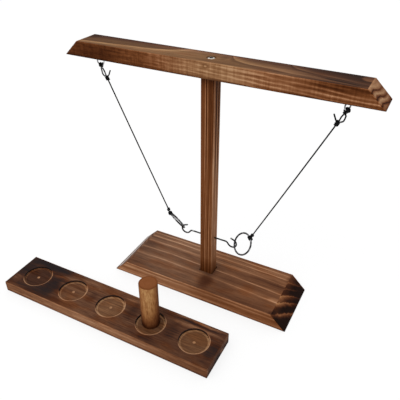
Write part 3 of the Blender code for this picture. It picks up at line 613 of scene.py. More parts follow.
@dataclass(frozen=True)
class TrayWood(Wood):
    """Tray: scorched top with blue-black patches, orange front, recesses with dark walls, painted shade and highlight
    at their rims, and drill marks.
    """

    fibre_scale: float = 600.0
    fibre_depth: float = 1.0
    length: float = 0.331
    width: float = 0.064
    thickness: float = 0.0165
    recess_pitch: float = 0.0655
    recess_radius: float = 0.020
    recess_depth: float = 0.003
    tool_pitch: float = 0.0016
    soot: Colour = (0.010, 0.0095, 0.0115)
    lengthwise: Stops = (
        (-165.5, 0.05), (-145, 0.046), (-120, 0.04), (-95, 0.042), (-75, 0.076), (-50, 0.106), (-20, 0.1),
        (10, 0.096), (40, 0.094), (75, 0.07), (100, 0.078), (130, 0.074), (165.5, 0.062))
    edge_lengthwise: Stops = (
        (-165.5, 0.2), (-100, 0.225), (-30, 0.275), (30, 0.265), (80, 0.2), (130, 0.155), (165.5, 0.145))
    edge_bands: Stops = (
        (-6, 0.95), (0, 0.9), (4, 1.05), (7, 0.86), (10, 1.25), (12.5, 1), (16.5, 1.05), (22, 0.95))
    edge_upwards: Stops = ((0, 0.4), (1.5, 0.62), (4, 0.92), (6, 1))
    end_upwards: Stops = ((0, 0.35), (5, 0.6), (11, 1))
    olive_share: Stops = ((-164, 0), (-65.5, 0.15), (0, 0.35), (164, 0.45))
    floor_tones: Stops = (
        (-164, 0.046), (-118, 0.046), (-90, 0.09), (-65.5, 0.106), (-33, 0.118), (0, 0.145), (33, 0.115),
        (65.5, 0.098), (98, 0.105), (164, 0.125))
    wall_tones: Stops = ((0, 0.32), (0.7, 0.2), (1.2, 0.022), (3, 0.012))
    marks: tuple[Mark, ...] = (
        Mark(-158, 10, 14, 24, 0.55), Mark(-156, -16, 11, 9, 1.9), Mark(-150, -30.5, 24, 4, 1.8),
        Mark(-100, -8, 17, 24, 0.62), Mark(-108, -22, 26, 9, 0.8), Mark(-86, 17, 30, 4.5, 2.2, 0.16),
        Mark(-128, 27, 54, 10, 0.36), Mark(-44, 25, 26, 5, 1.5, -0.05), Mark(-33, 2, 10, 16, 0.68),
        Mark(33, 3, 15, 18, 0.52), Mark(36, 24, 30, 5, 1.9, 0.04), Mark(97, 0, 14, 20, 0.62),
        Mark(124, 19, 54, 4.6, 2.5, 0.02), Mark(124, 25, 48, 1.8, 0.4, 0.02, 0.5), Mark(124, 29.5, 50, 2.6, 2.6),
        Mark(158, -4, 12, 20, 0.54), Mark(76, -24, 20, 7, 0.66), Mark(-20, 30.5, 90, 2, 1.3))
    end_marks: tuple[Mark, ...] = (
        Mark(11, 5, 9, 5, 2.6, -0.5), Mark(-4, 6, 12, 6, 0.5), Mark(-31, 8, 4, 12, 2.2), Mark(24, 12, 10, 6, 1.5))

    def figure(self, graph: MaterialGraph, grain: Signal) -> tuple[Signal, Signal]:
        """Tone and colour of the tray."""
        x, y, z = graph.place
        cloud = graph.cloud(45, 55, 55, detail=3.0)
        top = x.along(self.lengthwise) * (1.0 + cloud * 0.5)
        top = self.marked(x + cloud * 0.014, y + cloud * 0.008, top, self.marks)
        edge = x.along(self.edge_lengthwise) * (z - x * 0.03 + cloud * 0.004).along(self.edge_bands)
        edge = edge * z.along(self.edge_upwards)
        side, end = self.flank(y, self.width), self.flank(x, self.length)
        tone = side.blend(top, edge) * grain
        end_tone = (0.085 + cloud * 0.10) * grain * z.along(self.end_upwards)
        tone = end.blend(tone, self.marked(y, z, end_tone, self.end_marks))
        tone, below = self.recesses(graph, tone, grain)
        burnt = tone.step(0.055, 0.015) * (1.0 - side) * (1.0 - below)
        red = graph.maths("MAXIMUM", side * 0.55, self.tint(graph))
        colour = (burnt * 0.50).mix(self.stained(tone, (red, Stain.RED)), (*self.soot, 1.0))
        olive = below * x.along(self.olive_share)
        return tone, olive.mix(colour, Stain.OLIVE.colour(tone))

    def recesses(self, graph: MaterialGraph, tone: Signal, grain: Signal) -> tuple[Signal, Signal]:
        """Floors, walls, rims with painted shade and highlight, and drill marks, by the distance to the nearest
        recess.

        Args:
            graph: Material to add to.
            tone: Tone of the board without recesses.
            grain: Factor of streaks and fibres.

        Returns:
            The tone with the recesses, and the share of recess.
        """
        x, y, z = graph.place
        half = self.recess_pitch / 2
        near = graph.maths("WRAP", x, half, -half)
        reach = (near * near + y * y)**0.5
        past_wall, height = reach - self.recess_radius, z - (self.thickness - self.recess_depth)
        inside = past_wall.step(0.0009, 0.0003)
        below = z.step(self.thickness - 0.0004, self.thickness - 0.0008) * inside
        floor = height.step(0.0005, 0.0002) * inside
        front_right = (near - y) / (reach + 0.0001)
        # Painted light on each rim: painted shade on its back left just outside the wall, and a painted highlight on
        # its eased front right edge.
        rim_shade = past_wall.step(0.0012, 0.0004) * (1.0 - below) * front_right.step(0.4, -0.5)
        rim_highlight = past_wall.step(0.0013, 0.0007) * (1.0 - below) * front_right.step(-0.6, 0.3)
        tone = tone * (1.0 - rim_shade * 0.92)
        tone = rim_highlight.blend(tone, tone * 0.8 + 0.33)
        tone = below.blend(tone, height.along(self.wall_tones) * grain)
        tool_marks = graph.maths("SINE", reach * (FULL_TURN / self.tool_pitch)) * 0.05 + 1.0
        foot_tone = front_right.step(-0.2, 0.6).blend(2.4, 2.8)
        foot = past_wall.step(-0.0032, -0.0014).blend(1.0, foot_tone)
        floor_tone = x.along(self.floor_tones) * grain * tool_marks * foot
        drilled = reach.step(0.0026, 0.0012).blend(floor_tone, 0.36)
        return floor.blend(tone, drilled), below


@dataclass(frozen=True, kw_only=True)
class PostWood(Wood):
    """Post: upright stripes of dark and tan, finer high up, with painted shade at its foot and under the bar."""

    side: float
    upright: bool = True
    streak_scale: float = 620.0
    along_scale: float = 6.0
    flank_gain: float = 1.32
    contrast: float = 1.25
    low_front: Stops = (
        (-10, 0.45), (-8.8, 0.8), (-7, 1.1), (-5.6, 0.62), (-4.6, 1.55), (-3.6, 0.7), (-2.4, 1), (-1.2, 1.85),
        (-0.2, 0.7), (1, 1.6), (2, 0.62), (3.4, 0.8), (4.7, 1.9), (5.8, 0.62), (7.2, 1.55), (8.2, 0.7), (10, 0.75))
    high_front: Stops = (
        (-10, 0.6), (-8.8, 0.92), (-7, 0.96), (-5.5, 1), (-4.2, 0.92), (-3.3, 1), (-2.4, 2.4), (-1.6, 0.9),
        (-0.8, 0.45), (0, 0.9), (0.7, 2.05), (1.5, 0.8), (2.8, 0.9), (3.8, 0.98), (5, 0.8), (5.8, 0.95), (6.6, 1.6),
        (7.6, 0.7), (8.8, 0.8), (10, 1.2))
    low_flank: Stops = (
        (-10, 0.8), (-8, 1.6), (-6.2, 0.7), (-4.2, 1.35), (-2.2, 0.7), (0.4, 1.55), (2.4, 0.8), (4.6, 1.2),
        (7, 1.5), (10, 1.2))
    high_flank: Stops = (
        (-10, 1.1), (-8.4, 1.9), (-6.2, 1.6), (-4.4, 0.6), (-2.6, 0.36), (-1, 0.7), (0.3, 2.6), (1.6, 0.7),
        (3.2, 0.34), (4.8, 0.7), (6.1, 2.3), (7.4, 0.6), (8.6, 0.34), (10, 0.3))
    # Tone by height in millimetres; the low values at the foot, where the post meets the base, and just under the bar
    # are painted shade.
    upwards: Stops = (
        (0, 0.07), (24, 0.085), (34, 0.115), (50, 0.18), (120, 0.178), (180, 0.18), (240, 0.166), (285, 0.15),
        (305, 0.135), (320, 0.08))
    plain_share: Stops = ((0, 0), (0.06, 0.05), (0.14, 0.35), (0.4, 0.35))

    def figure(self, graph: MaterialGraph, grain: Signal) -> tuple[Signal, Signal]:
        """Tone and colour of the post."""
        x, y, z = graph.place
        wander = graph.noise(z * 16.0, x * 40.0, y * 40.0) - 0.5
        upper = z.step(0.130, 0.210)
        front = upper.blend((x + wander * 0.0016).along(self.low_front),
                            (x + wander * 0.0010).along(self.high_front))
        beside = upper.blend((y + wander * 0.0020).along(self.low_flank),
                             (y + wander * 0.0012).along(self.high_flank))
        flank = abs(x).step(self.side / 2 - 0.0014, self.side / 2 - 0.0006)
        stripe = flank.blend(front, beside * self.flank_gain)
        tone = z.along(self.upwards) * ((stripe - 1.0) * self.contrast + 1.0) * grain
        # Painted shade from the bar: the upper right of the front and the upper flanks are darkened.
        front_shade = z.step(0.170, 0.230) * x.step(0.0010, 0.0050) * (1.0 - flank)
        flank_shade = flank * z.step(0.190, 0.270)
        tone = tone * (1.0 - front_shade * 0.24) * (1.0 - flank_shade * 0.28)
        red = 1.0 - flank * tone.profile(self.plain_share)
        return tone, self.stained(tone, (red, Stain.RED))


@dataclass(frozen=True, kw_only=True)
class PegWood(Wood):
    """Peg: golden side with painted light and shade round it, darkening to its foot, and a red-brown end with year
    rings.
    """

    radius: float
    height: float
    upright: bool = True
    fibre_scale: float = 620.0
    streak_scale: float = 420.0
    along_scale: float = 22.0
    fibre_depth: float = 0.85
    streak_depth: float = 0.36
    light_turn: float = 24.0
    year_pitch: float = 0.0019
    heart: tuple[float, float] = (0.003, -0.002)
    upwards: Stops = ((0, 0.042), (5, 0.07), (11, 0.155), (22, 0.265), (32, 0.33), (48, 0.38), (71.5, 0.41))
    towards_light: Stops = ((-1, 0.55), (0, 0.34), (0.45, 0.48), (0.75, 0.9), (1, 1.15))

    def figure(self, graph: MaterialGraph, grain: Signal) -> tuple[Signal, Signal]:
        """Tone and colour of the peg."""
        x, y, z = graph.place
        # Painted light and shade round the side: lighter on the side turned towards the light, darker away from it.
        turn = math.radians(self.light_turn)
        toward = (x * math.sin(turn) - y * math.cos(turn)) / self.radius
        cloud = graph.cloud(90, 90, 60)
        tone = (z + cloud * 0.016).along(self.upwards) * toward.profile(self.towards_light) * grain
        aside, back = x - self.heart[0], y - self.heart[1]
        wave = graph.noise(x * 120.0, y * 120.0, 0.0)
        years = ((aside * aside + back * back)**0.5 + wave * 0.0016) * (FULL_TURN / self.year_pitch)
        rim = ((x * x + y * y)**0.5).step(self.radius - 0.0034, self.radius)
        end_tone = (0.195 + graph.maths("SINE", years) * 0.022 + cloud * 0.05) * (1.0 - rim * 0.28)
        end = z.step(self.height - 0.0008, self.height - 0.0003)
        tone = end.blend(tone, end_tone)
        colour = end.mix(Stain.GOLD.colour(tone), Stain.RED.colour(tone))
        return tone, colour


@dataclass(frozen=True)
class PlatedSteel:
    """Plated wire with fine drawing marks, whose cloudy bright and dull patches are painted reflection: glints and
    dark reflections of polished metal.
    """

    name: str
    bright: Colour = (0.36, 0.36, 0.37)
    dull: Colour = (0.030, 0.030, 0.032)
    socket_shade: Colour = (0.012, 0.010, 0.008)
    roughness: float = 0.20
    centre: Point = (0.0, 0.0, 0.0)
    socket: float = 0.0

    def material(self) -> bpy.types.Material:
        """Paint the metal, with painted shade in the socket if there is one about the centre."""
        graph = MaterialGraph(self.name, self.centre)
        x, y, _ = graph.place
        mark = graph.cloud(2600, 2600, 2600)
        # Bright and dull patches are painted reflection, standing in for the glints and dark reflections of the
        # plating.
        share = graph.cloud(260, 260, 260, detail=3.0).step(-0.04, 0.22)
        colour = share.mix((*self.dull, 1.0), (*self.bright, 1.0))
        # Painted shade: the bolt's hex socket is darkened inside.
        if self.socket:
            filled = ((x * x + y * y)**0.5).step(1.18 * self.socket, 1.02 * self.socket)
            colour = filled.mix(colour, (*self.socket_shade, 1.0))
        gloss = self.roughness + (1.0 - share) * 0.12 + mark * 0.10
        graph.surface(Base_Color=colour, Metallic=1.0, Roughness=gloss, Normal=mark.bump(0.05, 0.0001))
        return graph.material


@dataclass(frozen=True)
class BraidedCord:
    """Black braid with a painted highlight on its raised strands."""

    name: str
    deep: Colour = (0.002, 0.002, 0.002)
    crest: Colour = (0.008, 0.008, 0.009)

    def material(self) -> bpy.types.Material:
        """Paint the cord."""
        graph = MaterialGraph(self.name)
        crest = graph.add("ShaderNodeAttribute", {"attribute_name": "crest"}, {}, "Fac")
        fuzz = graph.cloud(5200, 5200, 5200)
        # The raised strands are lighter: a painted highlight.
        colour = (crest * (0.775 + fuzz * 0.45)).mix((*self.deep, 1.0), (*self.crest, 1.0))
        gloss = 0.92 - crest * 0.22 + fuzz * 0.12
        graph.surface(Base_Color=colour, Roughness=gloss, Normal=fuzz.bump(0.25, 0.0001),
                      Specular_IOR_Level=0.10)
        return graph.material


# Surfaces


def unit(vectors: np.ndarray) -> np.ndarray:
    """Vectors scaled to length one."""
    return vectors / np.linalg.norm(vectors, axis=-1, keepdims=True)


def circle(count: int) -> np.ndarray:
    """Angles of points spaced evenly round a circle."""
    return np.linspace(0.0, FULL_TURN, count, endpoint=False)


def travelled(path: np.ndarray) -> np.ndarray:
    """Distance along a path at each of its points."""
    steps = np.linalg.norm(np.diff(path, axis=0), axis=1)
    return np.concatenate([[0.0], np.cumsum(steps)])


def even(path: np.ndarray, spacing: float) -> np.ndarray:
    """A path with its points an even distance apart.

    Args:
        path: Points close enough together to stand for the curve.
        spacing: Wanted distance.

    Returns:
        The new points.
    """
    along = travelled(path)
    wanted = np.linspace(0.0, along[-1], max(2, round(along[-1] / spacing) + 1))
    return np.stack([np.interp(wanted, along, path[:, axis]) for axis in range(3)], axis=1)


def smooth_route(points: np.ndarray, spacing: float, samples: int = 40) -> np.ndarray:
    """A smooth curve through points: between two of them, the cubic that heads along their neighbours.

    Args:
        points: Points on the curve.
        spacing: Distance between the new points.
        samples: Points worked out between two given ones.

    Returns:
        Evenly spaced points.
    """
    ends = np.vstack([2 * points[0] - points[1], points, 2 * points[-1] - points[-2]])
    place = np.linspace(0.0, len(points) - 1.0, samples * (len(points) - 1) + 1)
    index = np.minimum(place.astype(int), len(points) - 2)
    t = (place - index)[:, None]
    a, b, c, d = (ends[index + step] for step in range(4))
    dense = 0.5 * (2 * b + (c - a) * t + (2 * a - 5 * b + 4 * c - d) * t**2 + (3 * b - a - 3 * c + d) * t**3)
    return even(dense, spacing)


def helix(centre: np.ndarray, axis: np.ndarray, start: np.ndarray, radius: float, pitch: float,
          turns: float, points: int = 28) -> np.ndarray:
    """Turns of cord round a straight line: a circle whose centre moves evenly along the line.

    Args:
        centre: Middle of the winding.
        axis: Direction of the line.
        start: Direction across the line in which the winding starts.
        radius: Distance from the line.
        pitch: Step from turn to turn.
        turns: Number of turns.
        points: Points in a turn.

    Returns:
        The points.
    """
    share = np.linspace(-0.5, 0.5, round(turns * points) + 1)[:, None]
    angle = FULL_TURN * turns * (share + 0.5)
    square = np.cross(axis, start)
    return centre + share * (turns * pitch) * axis + radius * (np.cos(angle) * start + np.sin(angle) * square)


def grid_faces(rows: int, columns: int, loop: bool) -> np.ndarray:
    """Corners of the quads between rows that each close on themselves.

    Args:
        rows: Number of rows.
        columns: Points in a row.
        loop: Whether the last row joins the first.

    Returns:
        Four corners for each quad, facing out where a row turns left about its direction of travel.
    """
    row = np.arange(rows if loop else rows - 1)[:, None]
    column = np.arange(columns)[None, :]
    next_row, next_column = (row + 1) % rows, (column + 1) % columns
    corners = (row * columns + column, row * columns + next_column, next_row * columns + next_column,
               next_row * columns + column)
    return np.stack(np.broadcast_arrays(*corners), axis=-1).reshape(-1, 4)


def placed(name: str, data: bpy.types.ID, place: Matrix | None = None) -> bpy.types.Object:
    """Link an object with its data into the scene, at the origin or where it is placed."""
    thing = bpy.data.objects.new(name, data)
    if place is not None:
        thing.matrix_world = place
    bpy.context.scene.collection.objects.link(thing)
    return thing


class Ends(Enum):
    """What becomes of the first and last rows of a grid."""

    CAPPED = "capped"
    JOINED = "joined"
    OPEN = "open"


def skin(name: str, points: np.ndarray, ends: Ends = Ends.CAPPED,
         crest: np.ndarray | None = None) -> bpy.types.Object:
    """Make an object from a grid of points whose rows close on themselves.

    Args:
        name: Name of the piece.
        points: Rows by columns by three.
        ends: Whether the end rows are capped with a face, joined to each other or left open.
        crest: Number from 0 to 1 at each point, for the finish.

    Returns:
        The linked object, at the origin.
    """
    rows, columns = points.shape[:2]
    faces = grid_faces(rows, columns, ends is Ends.JOINED).tolist()
    if ends is Ends.CAPPED:
        faces.append(list(range(columns - 1, -1, -1)))
        faces.append(list(range((rows - 1) * columns, rows * columns)))
    mesh = bpy.data.meshes.new(name)
    mesh.from_pydata(points.reshape(-1, 3).tolist(), [], faces)
    mesh.polygons.foreach_set("use_smooth", np.ones(len(faces), bool))
    if crest is not None:
        mesh.attributes.new("crest", "FLOAT", "POINT").data.foreach_set("value", crest.astype(np.float32).ravel())
    mesh.update()
    return placed(name, mesh)


def sweep(path: np.ndarray, radius: np.ndarray, reference: np.ndarray, sides: int) -> np.ndarray:
    """Grid of a tube: a circle carried along a path, square to it.

    Args:
        path: Points of the centre line.
        radius: Radius at each point and side, or at each point.
        reference: Direction that the path never takes, from which the circle's first side is turned.
        sides: Points round the tube.

    Returns:
        Rows by sides by three.
    """
    heading = unit(np.gradient(path, axis=0))
    first = unit(np.cross(heading, reference))
    second = np.cross(heading, first)
    angle = circle(sides)[None, :, None]
    spoke = np.cos(angle) * first[:, None] + np.sin(angle) * second[:, None]
    return path[:, None] + radius.reshape(len(path), -1, 1) * spoke


def domed(along: np.ndarray, radius: float) -> np.ndarray:
    """Share of a tube's radius that leaves half a ball at each end, from the distance along it."""
    near = np.minimum(along, along[-1] - along) / radius
    return np.sqrt(np.clip(1.0 - (1.0 - np.clip(near, 0.0, 1.0))**2, 0.0025, 1.0))


@dataclass(frozen=True)
class Braid:
    """Round braid: two sets of strands that cross, each a raised line wound round the tube."""

    diameter: float = 0.0018
    strands: int = 4
    lay: float = 0.0034
    relief: float = 0.08
    sides: int = 20
    spacing: float = 0.00030

    def tube(self, name: str, path: np.ndarray, reference: np.ndarray) -> bpy.types.Object:
        """Braided cord along a path.

        The radius is the cord's own, less a share where neither set of strands is raised. A strand's height is
        the cosine of its count times the angle, plus or minus its turn along the cord.

        Args:
            name: Name of the piece.
            path: Points of the centre line.
            reference: Direction that the path never takes.

        Returns:
            The piece.
        """
        path = even(path, self.spacing)
        along = travelled(path)
        angle = circle(self.sides)[None, :]
        turn = (FULL_TURN / self.lay) * along[:, None]
        crest = np.maximum(np.cos(self.strands * angle + turn), np.cos(self.strands * angle - turn))
        crest = 0.5 + 0.5 * crest
        radius = self.diameter / 2 * (1.0 - self.relief * (1.0 - crest)) * domed(along, self.diameter / 2)[:, None]
        return skin(name, sweep(path, radius, reference, self.sides), crest=crest)


@dataclass(frozen=True)
class Run:
    """A straight stretch of bent wire."""

    length: float


@dataclass(frozen=True)
class Bend:
    """An arc of bent wire, to the left if its angle is above zero."""

    radius: float
    degrees: float


def bent(start: Sequence[float], heading: float, moves: Sequence[Run | Bend], step: float = 0.0002) -> np.ndarray:
    """Centre line of bent wire in a plane: headings along its length, summed up.

    Args:
        start: First point in the plane.
        heading: First heading in degrees.
        moves: Runs and bends.
        step: Distance between points.

    Returns:
        Points as X and Z with Y at zero.
    """
    turns, sizes = [], []
    for move in moves:
        length = move.length if isinstance(move, Run) else move.radius * abs(math.radians(move.degrees))
        count = max(2, round(length / step))
        turns.append(np.full(count, (math.radians(move.degrees) if isinstance(move, Bend) else 0.0) / count))
        sizes.append(np.full(count, length / count))
    turn, size = np.concatenate(turns), np.concatenate(sizes)
    angle = math.radians(heading) + np.cumsum(turn) - turn / 2
    x = start[0] + np.concatenate([[0.0], np.cumsum(size * np.cos(angle))])
    z = start[1] + np.concatenate([[0.0], np.cumsum(size * np.sin(angle))])
    return np.stack([x, np.zeros_like(x), z], axis=1)


def wire(name: str, path: np.ndarray, diameter: float, reference: np.ndarray, sides: int = 24) -> bpy.types.Object:
    """Round wire with domed ends along a path."""
    path = even(path, diameter / 8)
    radius = diameter / 2 * domed(travelled(path), diameter / 2)
    return skin(name, sweep(path, radius, reference, sides))


def about(axis: np.ndarray, degrees: float) -> np.ndarray:
    """Matrix of a turn about an axis."""
    return np.array(Matrix.Rotation(math.radians(degrees), 3, [float(part) for part in axis]))


# Sub-assemblies


@dataclass(frozen=True)
class Layout:
    """Where the post stands, and the sizes of it that other pieces hang on."""

    post_x: float = 0.0264
    post_y: float = 0.05675
    post_side: float = 0.0185
    crossbar_height: float = 0.3195

    def at(self, height: float) -> Point:
        """Point on the post's axis."""
        return self.post_x, self.post_y, height


@dataclass
class Stand:
    """The boards, the post and their bolts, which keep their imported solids."""

    layout: Layout
    bolt_socket: float = 0.0020

    def dress(self, nodes: Mapping[str, bpy.types.Object]) -> None:
        """Give each node its finish."""
        foot = self.layout.at(0.0)
        steel = PlatedSteel("bolt_plating", bright=(0.68, 0.63, 0.56), dull=(0.36, 0.33, 0.29), centre=foot,
                            socket=self.bolt_socket).material()
        zinc = PlatedSteel("insert_zinc", bright=(0.48, 0.48, 0.47), dull=(0.32, 0.32, 0.31),
                           roughness=0.4).material()
        finishes = {
            "base_board": BaseWood("base_board_stain", foot).material(),
            "post": PostWood("post_stain", foot, side=self.layout.post_side).material(),
            "crossbar": CrossbarWood("crossbar_stain", self.layout.at(self.layout.crossbar_height)).material(),
            "crossbar_bolt": steel, "base_bolt": steel, "crossbar_insert": zinc, "base_insert": zinc}
        for name, finish in finishes.items():
            paint(nodes[name], finish)


@dataclass
class Tray:
    """The tray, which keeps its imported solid, and the peg, turned again with finer sides."""

    centre_x: float = -0.0609
    centre_y: float = -0.07025
    peg_x: float = 0.0031
    peg_y: float = -0.06725
    peg_foot: float = 0.0138
    peg_radius: float = 0.01225
    peg_height: float = 0.0715
    peg_ease: float = 0.0006
    peg_sides: int = 160
    ease_rows: int = 7
    face_rows: int = 14
    shaft_rows: int = 30
    sharp_angle: float = 40.0

    def dress(self, nodes: Mapping[str, bpy.types.Object]) -> None:
        """Give the tray its finish."""
        paint(nodes["tray"], TrayWood("tray_stain", (self.centre_x, self.centre_y, 0.0)).material())

    def peg(self) -> bpy.types.Object:
        """Turn the peg: a radius and height for each row, spun round the peg's axis."""
        ease = np.linspace(0.0, math.pi / 2, self.ease_rows)
        inset, rise = self.peg_ease * (1 - np.sin(ease)), self.peg_ease * (1 - np.cos(ease))
        low = np.stack([self.peg_radius - inset, rise], 1)
        high = np.stack([low[::-1, 0], self.peg_height - low[::-1, 1]], 1)
        faces = np.linspace(0.02, 0.98, self.face_rows)[:, None] * np.array([[low[0, 0], 0.0]])
        lid = np.stack([faces[::-1, 0], np.full(len(faces), self.peg_height)], 1)
        heights = np.linspace(0.03, 0.97, self.shaft_rows) * self.peg_height
        shaft = np.stack([np.full_like(heights, self.peg_radius), heights], 1)
        rows = np.vstack([faces, low, shaft, high, lid])
        angle = circle(self.peg_sides)[None, :]
        x = self.peg_x + rows[:, :1] * np.cos(angle)
        y = self.peg_y + rows[:, :1] * np.sin(angle)
        z = np.broadcast_to(self.peg_foot + rows[:, 1:], x.shape)
        peg = skin("turned_peg", np.stack([x, y, z], axis=-1))
        peg.data.set_sharp_from_angle(angle=math.radians(self.sharp_angle))
        wood = PegWood("peg_stain", (self.peg_x, self.peg_y, self.peg_foot), radius=self.peg_radius,
                       height=self.peg_height)
        paint(peg, wood.material())
        return stand_for(peg, "peg", "peg")


@dataclass(frozen=True)
class CordLine:
    """The straight line of a cord: its knots, its direction, and the direction across it in the swing plane."""

    top: np.ndarray
    bottom: np.ndarray
    along: np.ndarray
    across: np.ndarray


@dataclass
class Tether:
    """One side of the stand: hook, screw eye, cord with its knots, and ring."""

    side: Side
    layout: Layout
    braid: Braid
    steel: bpy.types.Material
    eye_steel: bpy.types.Material
    hook_steel: bpy.types.Material
    cord_finish: bpy.types.Material
    hook_height: float = 0.083
    hook_wire: float = 0.0022
    hook_screw: float = 0.0070
    hook_shank: float = 0.017
    hook_shoulder: Bend = Bend(0.004, -53.0)
    hook_drop: float = 0.003
    hook_bend: Bend = Bend(0.0066, 212.0)
    hook_tip: float = 0.0056
    eye_reach: float = 0.1595
    eye_wire: float = 0.0018
    eye_screw: float = 0.012
    eye_loop: float = 0.0046
    eye_neck: float = 0.002
    eye_drop: float = 0.0130
    eye_end_angle: float = 128.0
    eye_turn: float = 62.0
    ring_radius: float = 0.0151
    ring_wire: float = 0.0024
    ring_turn: float = -31.3
    ring_lean: float = 57.5
    ring_roll: float = 0.0
    ring_rest_angle: float = 210.1
    ring_knot_angle: float = 64.0
    ring_gap: float = 0.0004
    ring_points: tuple[int, int] = (160, 24)
    hook_contact_angle: float = 15.0
    knot_room: float = 0.0035
    knot_gap: float = 0.0001
    cord_gap: float = 0.00045
    strand_gap: float = 0.0002
    loop_distance: float = 0.0185
    loop_end: float = 0.0030
    loop_radius: float = 0.0018
    loop_tail: float = 0.0080
    loop_tail_lean: float = 50.0
    loop_bow: float = 0.0040
    loop_bow_place: float = 0.70
    loop_spread: float = 0.0005
    turn_pitch: float = 0.00172
    eye_turns: float = 3.0
    loop_turns: float = 3.0
    hitch_turns: float = 2.0
    hitch_radius: float = 0.0016
    hitch_gap: float = 0.0008
    ring_turns: float = 3.0
    ring_spread: float = 1.12
    ring_turn_points: int = 113
    over_turns: float = 1.5
    over_spread: float = 1.6
    over_lift: float = 0.0006
    neck_drop: float = 0.0044
    neck_radius: float = 0.0015
    neck_turns: float = 1.0
    cord_sag: tuple[float, ...] = (0.0, 0.0004, 0.0006, 0.0005, 0.0)
    route_step: float = 0.006

    @property
    def cord_reach(self) -> float:
        """Distance from the middle of the ring's wire to the end of the cord, over the turns about the wire."""
        return self.ring_wire / 2 + 2 * self.cord_gap + self.braid.diameter

    @cached_property
    def line(self) -> CordLine:
        """Line of the cord from the knot on the screw eye to the knot on the ring, in the side's frame."""
        turn, centre = self.ring_pose()
        top = np.array([self.eye_reach, 0.0, self.layout.crossbar_height - self.eye_drop])
        bottom = centre + self.ring_radius * turn @ self.spoke(self.ring_knot_angle)
        along = unit(bottom - top)
        return CordLine(top, bottom, along, unit(np.cross(along, Y_AXIS)))

    def turned(self, direction: np.ndarray) -> np.ndarray:
        """A direction of the side's own frame in the frame of the whole set."""
        return about(Z_AXIS, self.side.value) @ direction

    def world(self, points: np.ndarray) -> np.ndarray:
        """Points of the side's own frame in the frame of the whole set."""
        return points @ about(Z_AXIS, self.side.value).T + np.array(self.layout.at(0.0))

    def hook_path(self) -> tuple[np.ndarray, np.ndarray]:
        """Centre line of the hook's wire, and the centre of its round bend."""
        start = (self.layout.post_side / 2 - self.hook_screw, self.hook_height)
        lead = [Run(self.hook_screw + self.hook_shank), self.hook_shoulder, Run(self.hook_drop)]
        foot = bent(start, 0.0, lead)[-1]
        tilt = math.radians(self.hook_shoulder.degrees)
        centre = foot + self.hook_bend.radius * np.array([-math.sin(tilt), 0.0, math.cos(tilt)])
        return bent(start, 0.0, lead + [self.hook_bend, Run(self.hook_tip)]), centre

    def ring_pose(self) -> tuple[np.ndarray, np.ndarray]:
        """Turn and centre of the ring, which leans in the hook's bend and rolls about hook and knot."""
        turn = about(Z_AXIS, self.ring_turn) @ about(X_AXIS, self.ring_lean)
        inset = self.hook_bend.radius - (self.hook_wire + self.ring_wire) / 2 - self.ring_gap
        lift = math.radians(self.hook_contact_angle)
        contact = self.hook_path()[1] + inset * np.array([math.cos(lift), 0.0, math.sin(lift)])
        to_contact = self.ring_radius * turn @ self.spoke(self.ring_rest_angle)
        to_knot = self.ring_radius * turn @ self.spoke(self.ring_knot_angle)
        roll = about(unit(to_knot - to_contact), self.ring_roll)
        return roll @ turn, contact - roll @ to_contact

    @staticmethod
    def spoke(degrees: float) -> np.ndarray:
        """Direction from a ring's centre, in its own plane."""
        angle = math.radians(degrees)
        return np.array([math.cos(angle), math.sin(angle), 0.0])

    def build(self) -> None:
        """Make all pieces of the side, cords first."""
        body = self.side.named("tether")
        knots = [self.loop_knot(), self.ring_hitch(), self.ring_knot()]
        for piece, node in zip(knots, ("loop_knot", "ring_hitch", "ring_knot")):
            self.tie(piece, node, body)
        ring = self.ring()
        cord, path = self.cord()
        self.tie(cord, "cord", body)
        self.tie(self.return_strand(), "cord_return", body)
        self.tie(self.eye_knot(), "eye_knot", "stand")
        metal = ((self.hook(), "hook", self.hook_steel), (self.eye(), "screw_eye", self.eye_steel))
        for piece, node, finish in metal:
            paint(piece, finish)
            stand_for(piece, self.side.named(node), "stand")

    def tie(self, piece: bpy.types.Object, node: str, body: str) -> None:
        """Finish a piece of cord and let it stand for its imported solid."""
        paint(piece, self.cord_finish)
        stand_for(piece, self.side.named(node), body)

    def braided(self, name: str, path: np.ndarray, reference: np.ndarray) -> bpy.types.Object:
        """Braided cord along a path of the side's own frame.

        Args:
            name: Name of the piece without its side.
            path: Points of the centre line.
            reference: Direction that the path never takes.

        Returns:
            The piece.
        """
        return self.braid.tube(self.side.named(name), self.world(path), self.turned(reference))

    def cord(self) -> tuple[bpy.types.Object, np.ndarray]:
        """The cord between its knots, with a slight sag and a bow beside the returning strand."""
        line = self.line
        first, last = line.top + self.knot_room * line.along, line.bottom - self.cord_reach * line.along
        share = np.linspace(0.0, 1.0, len(self.cord_sag))[:, None]
        route = first + share * (last - first) - np.array(self.cord_sag)[:, None] * Z_AXIS
        path = smooth_route(route, self.braid.spacing)
        part = np.clip(travelled(path) / (self.loop_distance - self.knot_room - self.loop_end), 0.0, 1.0)
        path = path - (self.loop_spread * np.sin(math.pi * part)**2)[:, None] * line.across
        return self.braided("braid", path, Y_AXIS), even(self.world(path), self.route_step)

    def return_strand(self) -> bpy.types.Object:
        """The end of the cord coming back from the screw eye, bowed away from the cord."""
        line = self.line
        apart = self.braid.diameter + self.strand_gap
        first = math.sqrt(self.knot_room**2 - apart**2)
        last = self.loop_distance - self.loop_end
        middle = (1.0 - self.loop_bow_place) * first + self.loop_bow_place * last
        places = np.array([first, middle, last])[:, None]
        route = line.top + places * line.along + np.array([apart, self.loop_bow, apart])[:, None] * line.across
        path = smooth_route(route, self.braid.spacing)
        if self.neck_turns:
            neck = helix(line.top + self.neck_drop * line.along, line.along, line.across, self.neck_radius,
                         self.turn_pitch, self.neck_turns)
            path = np.vstack([neck, path[travelled(path) > 2 * (self.neck_drop - first)]])
        return self.braided("return_braid", path, Y_AXIS)

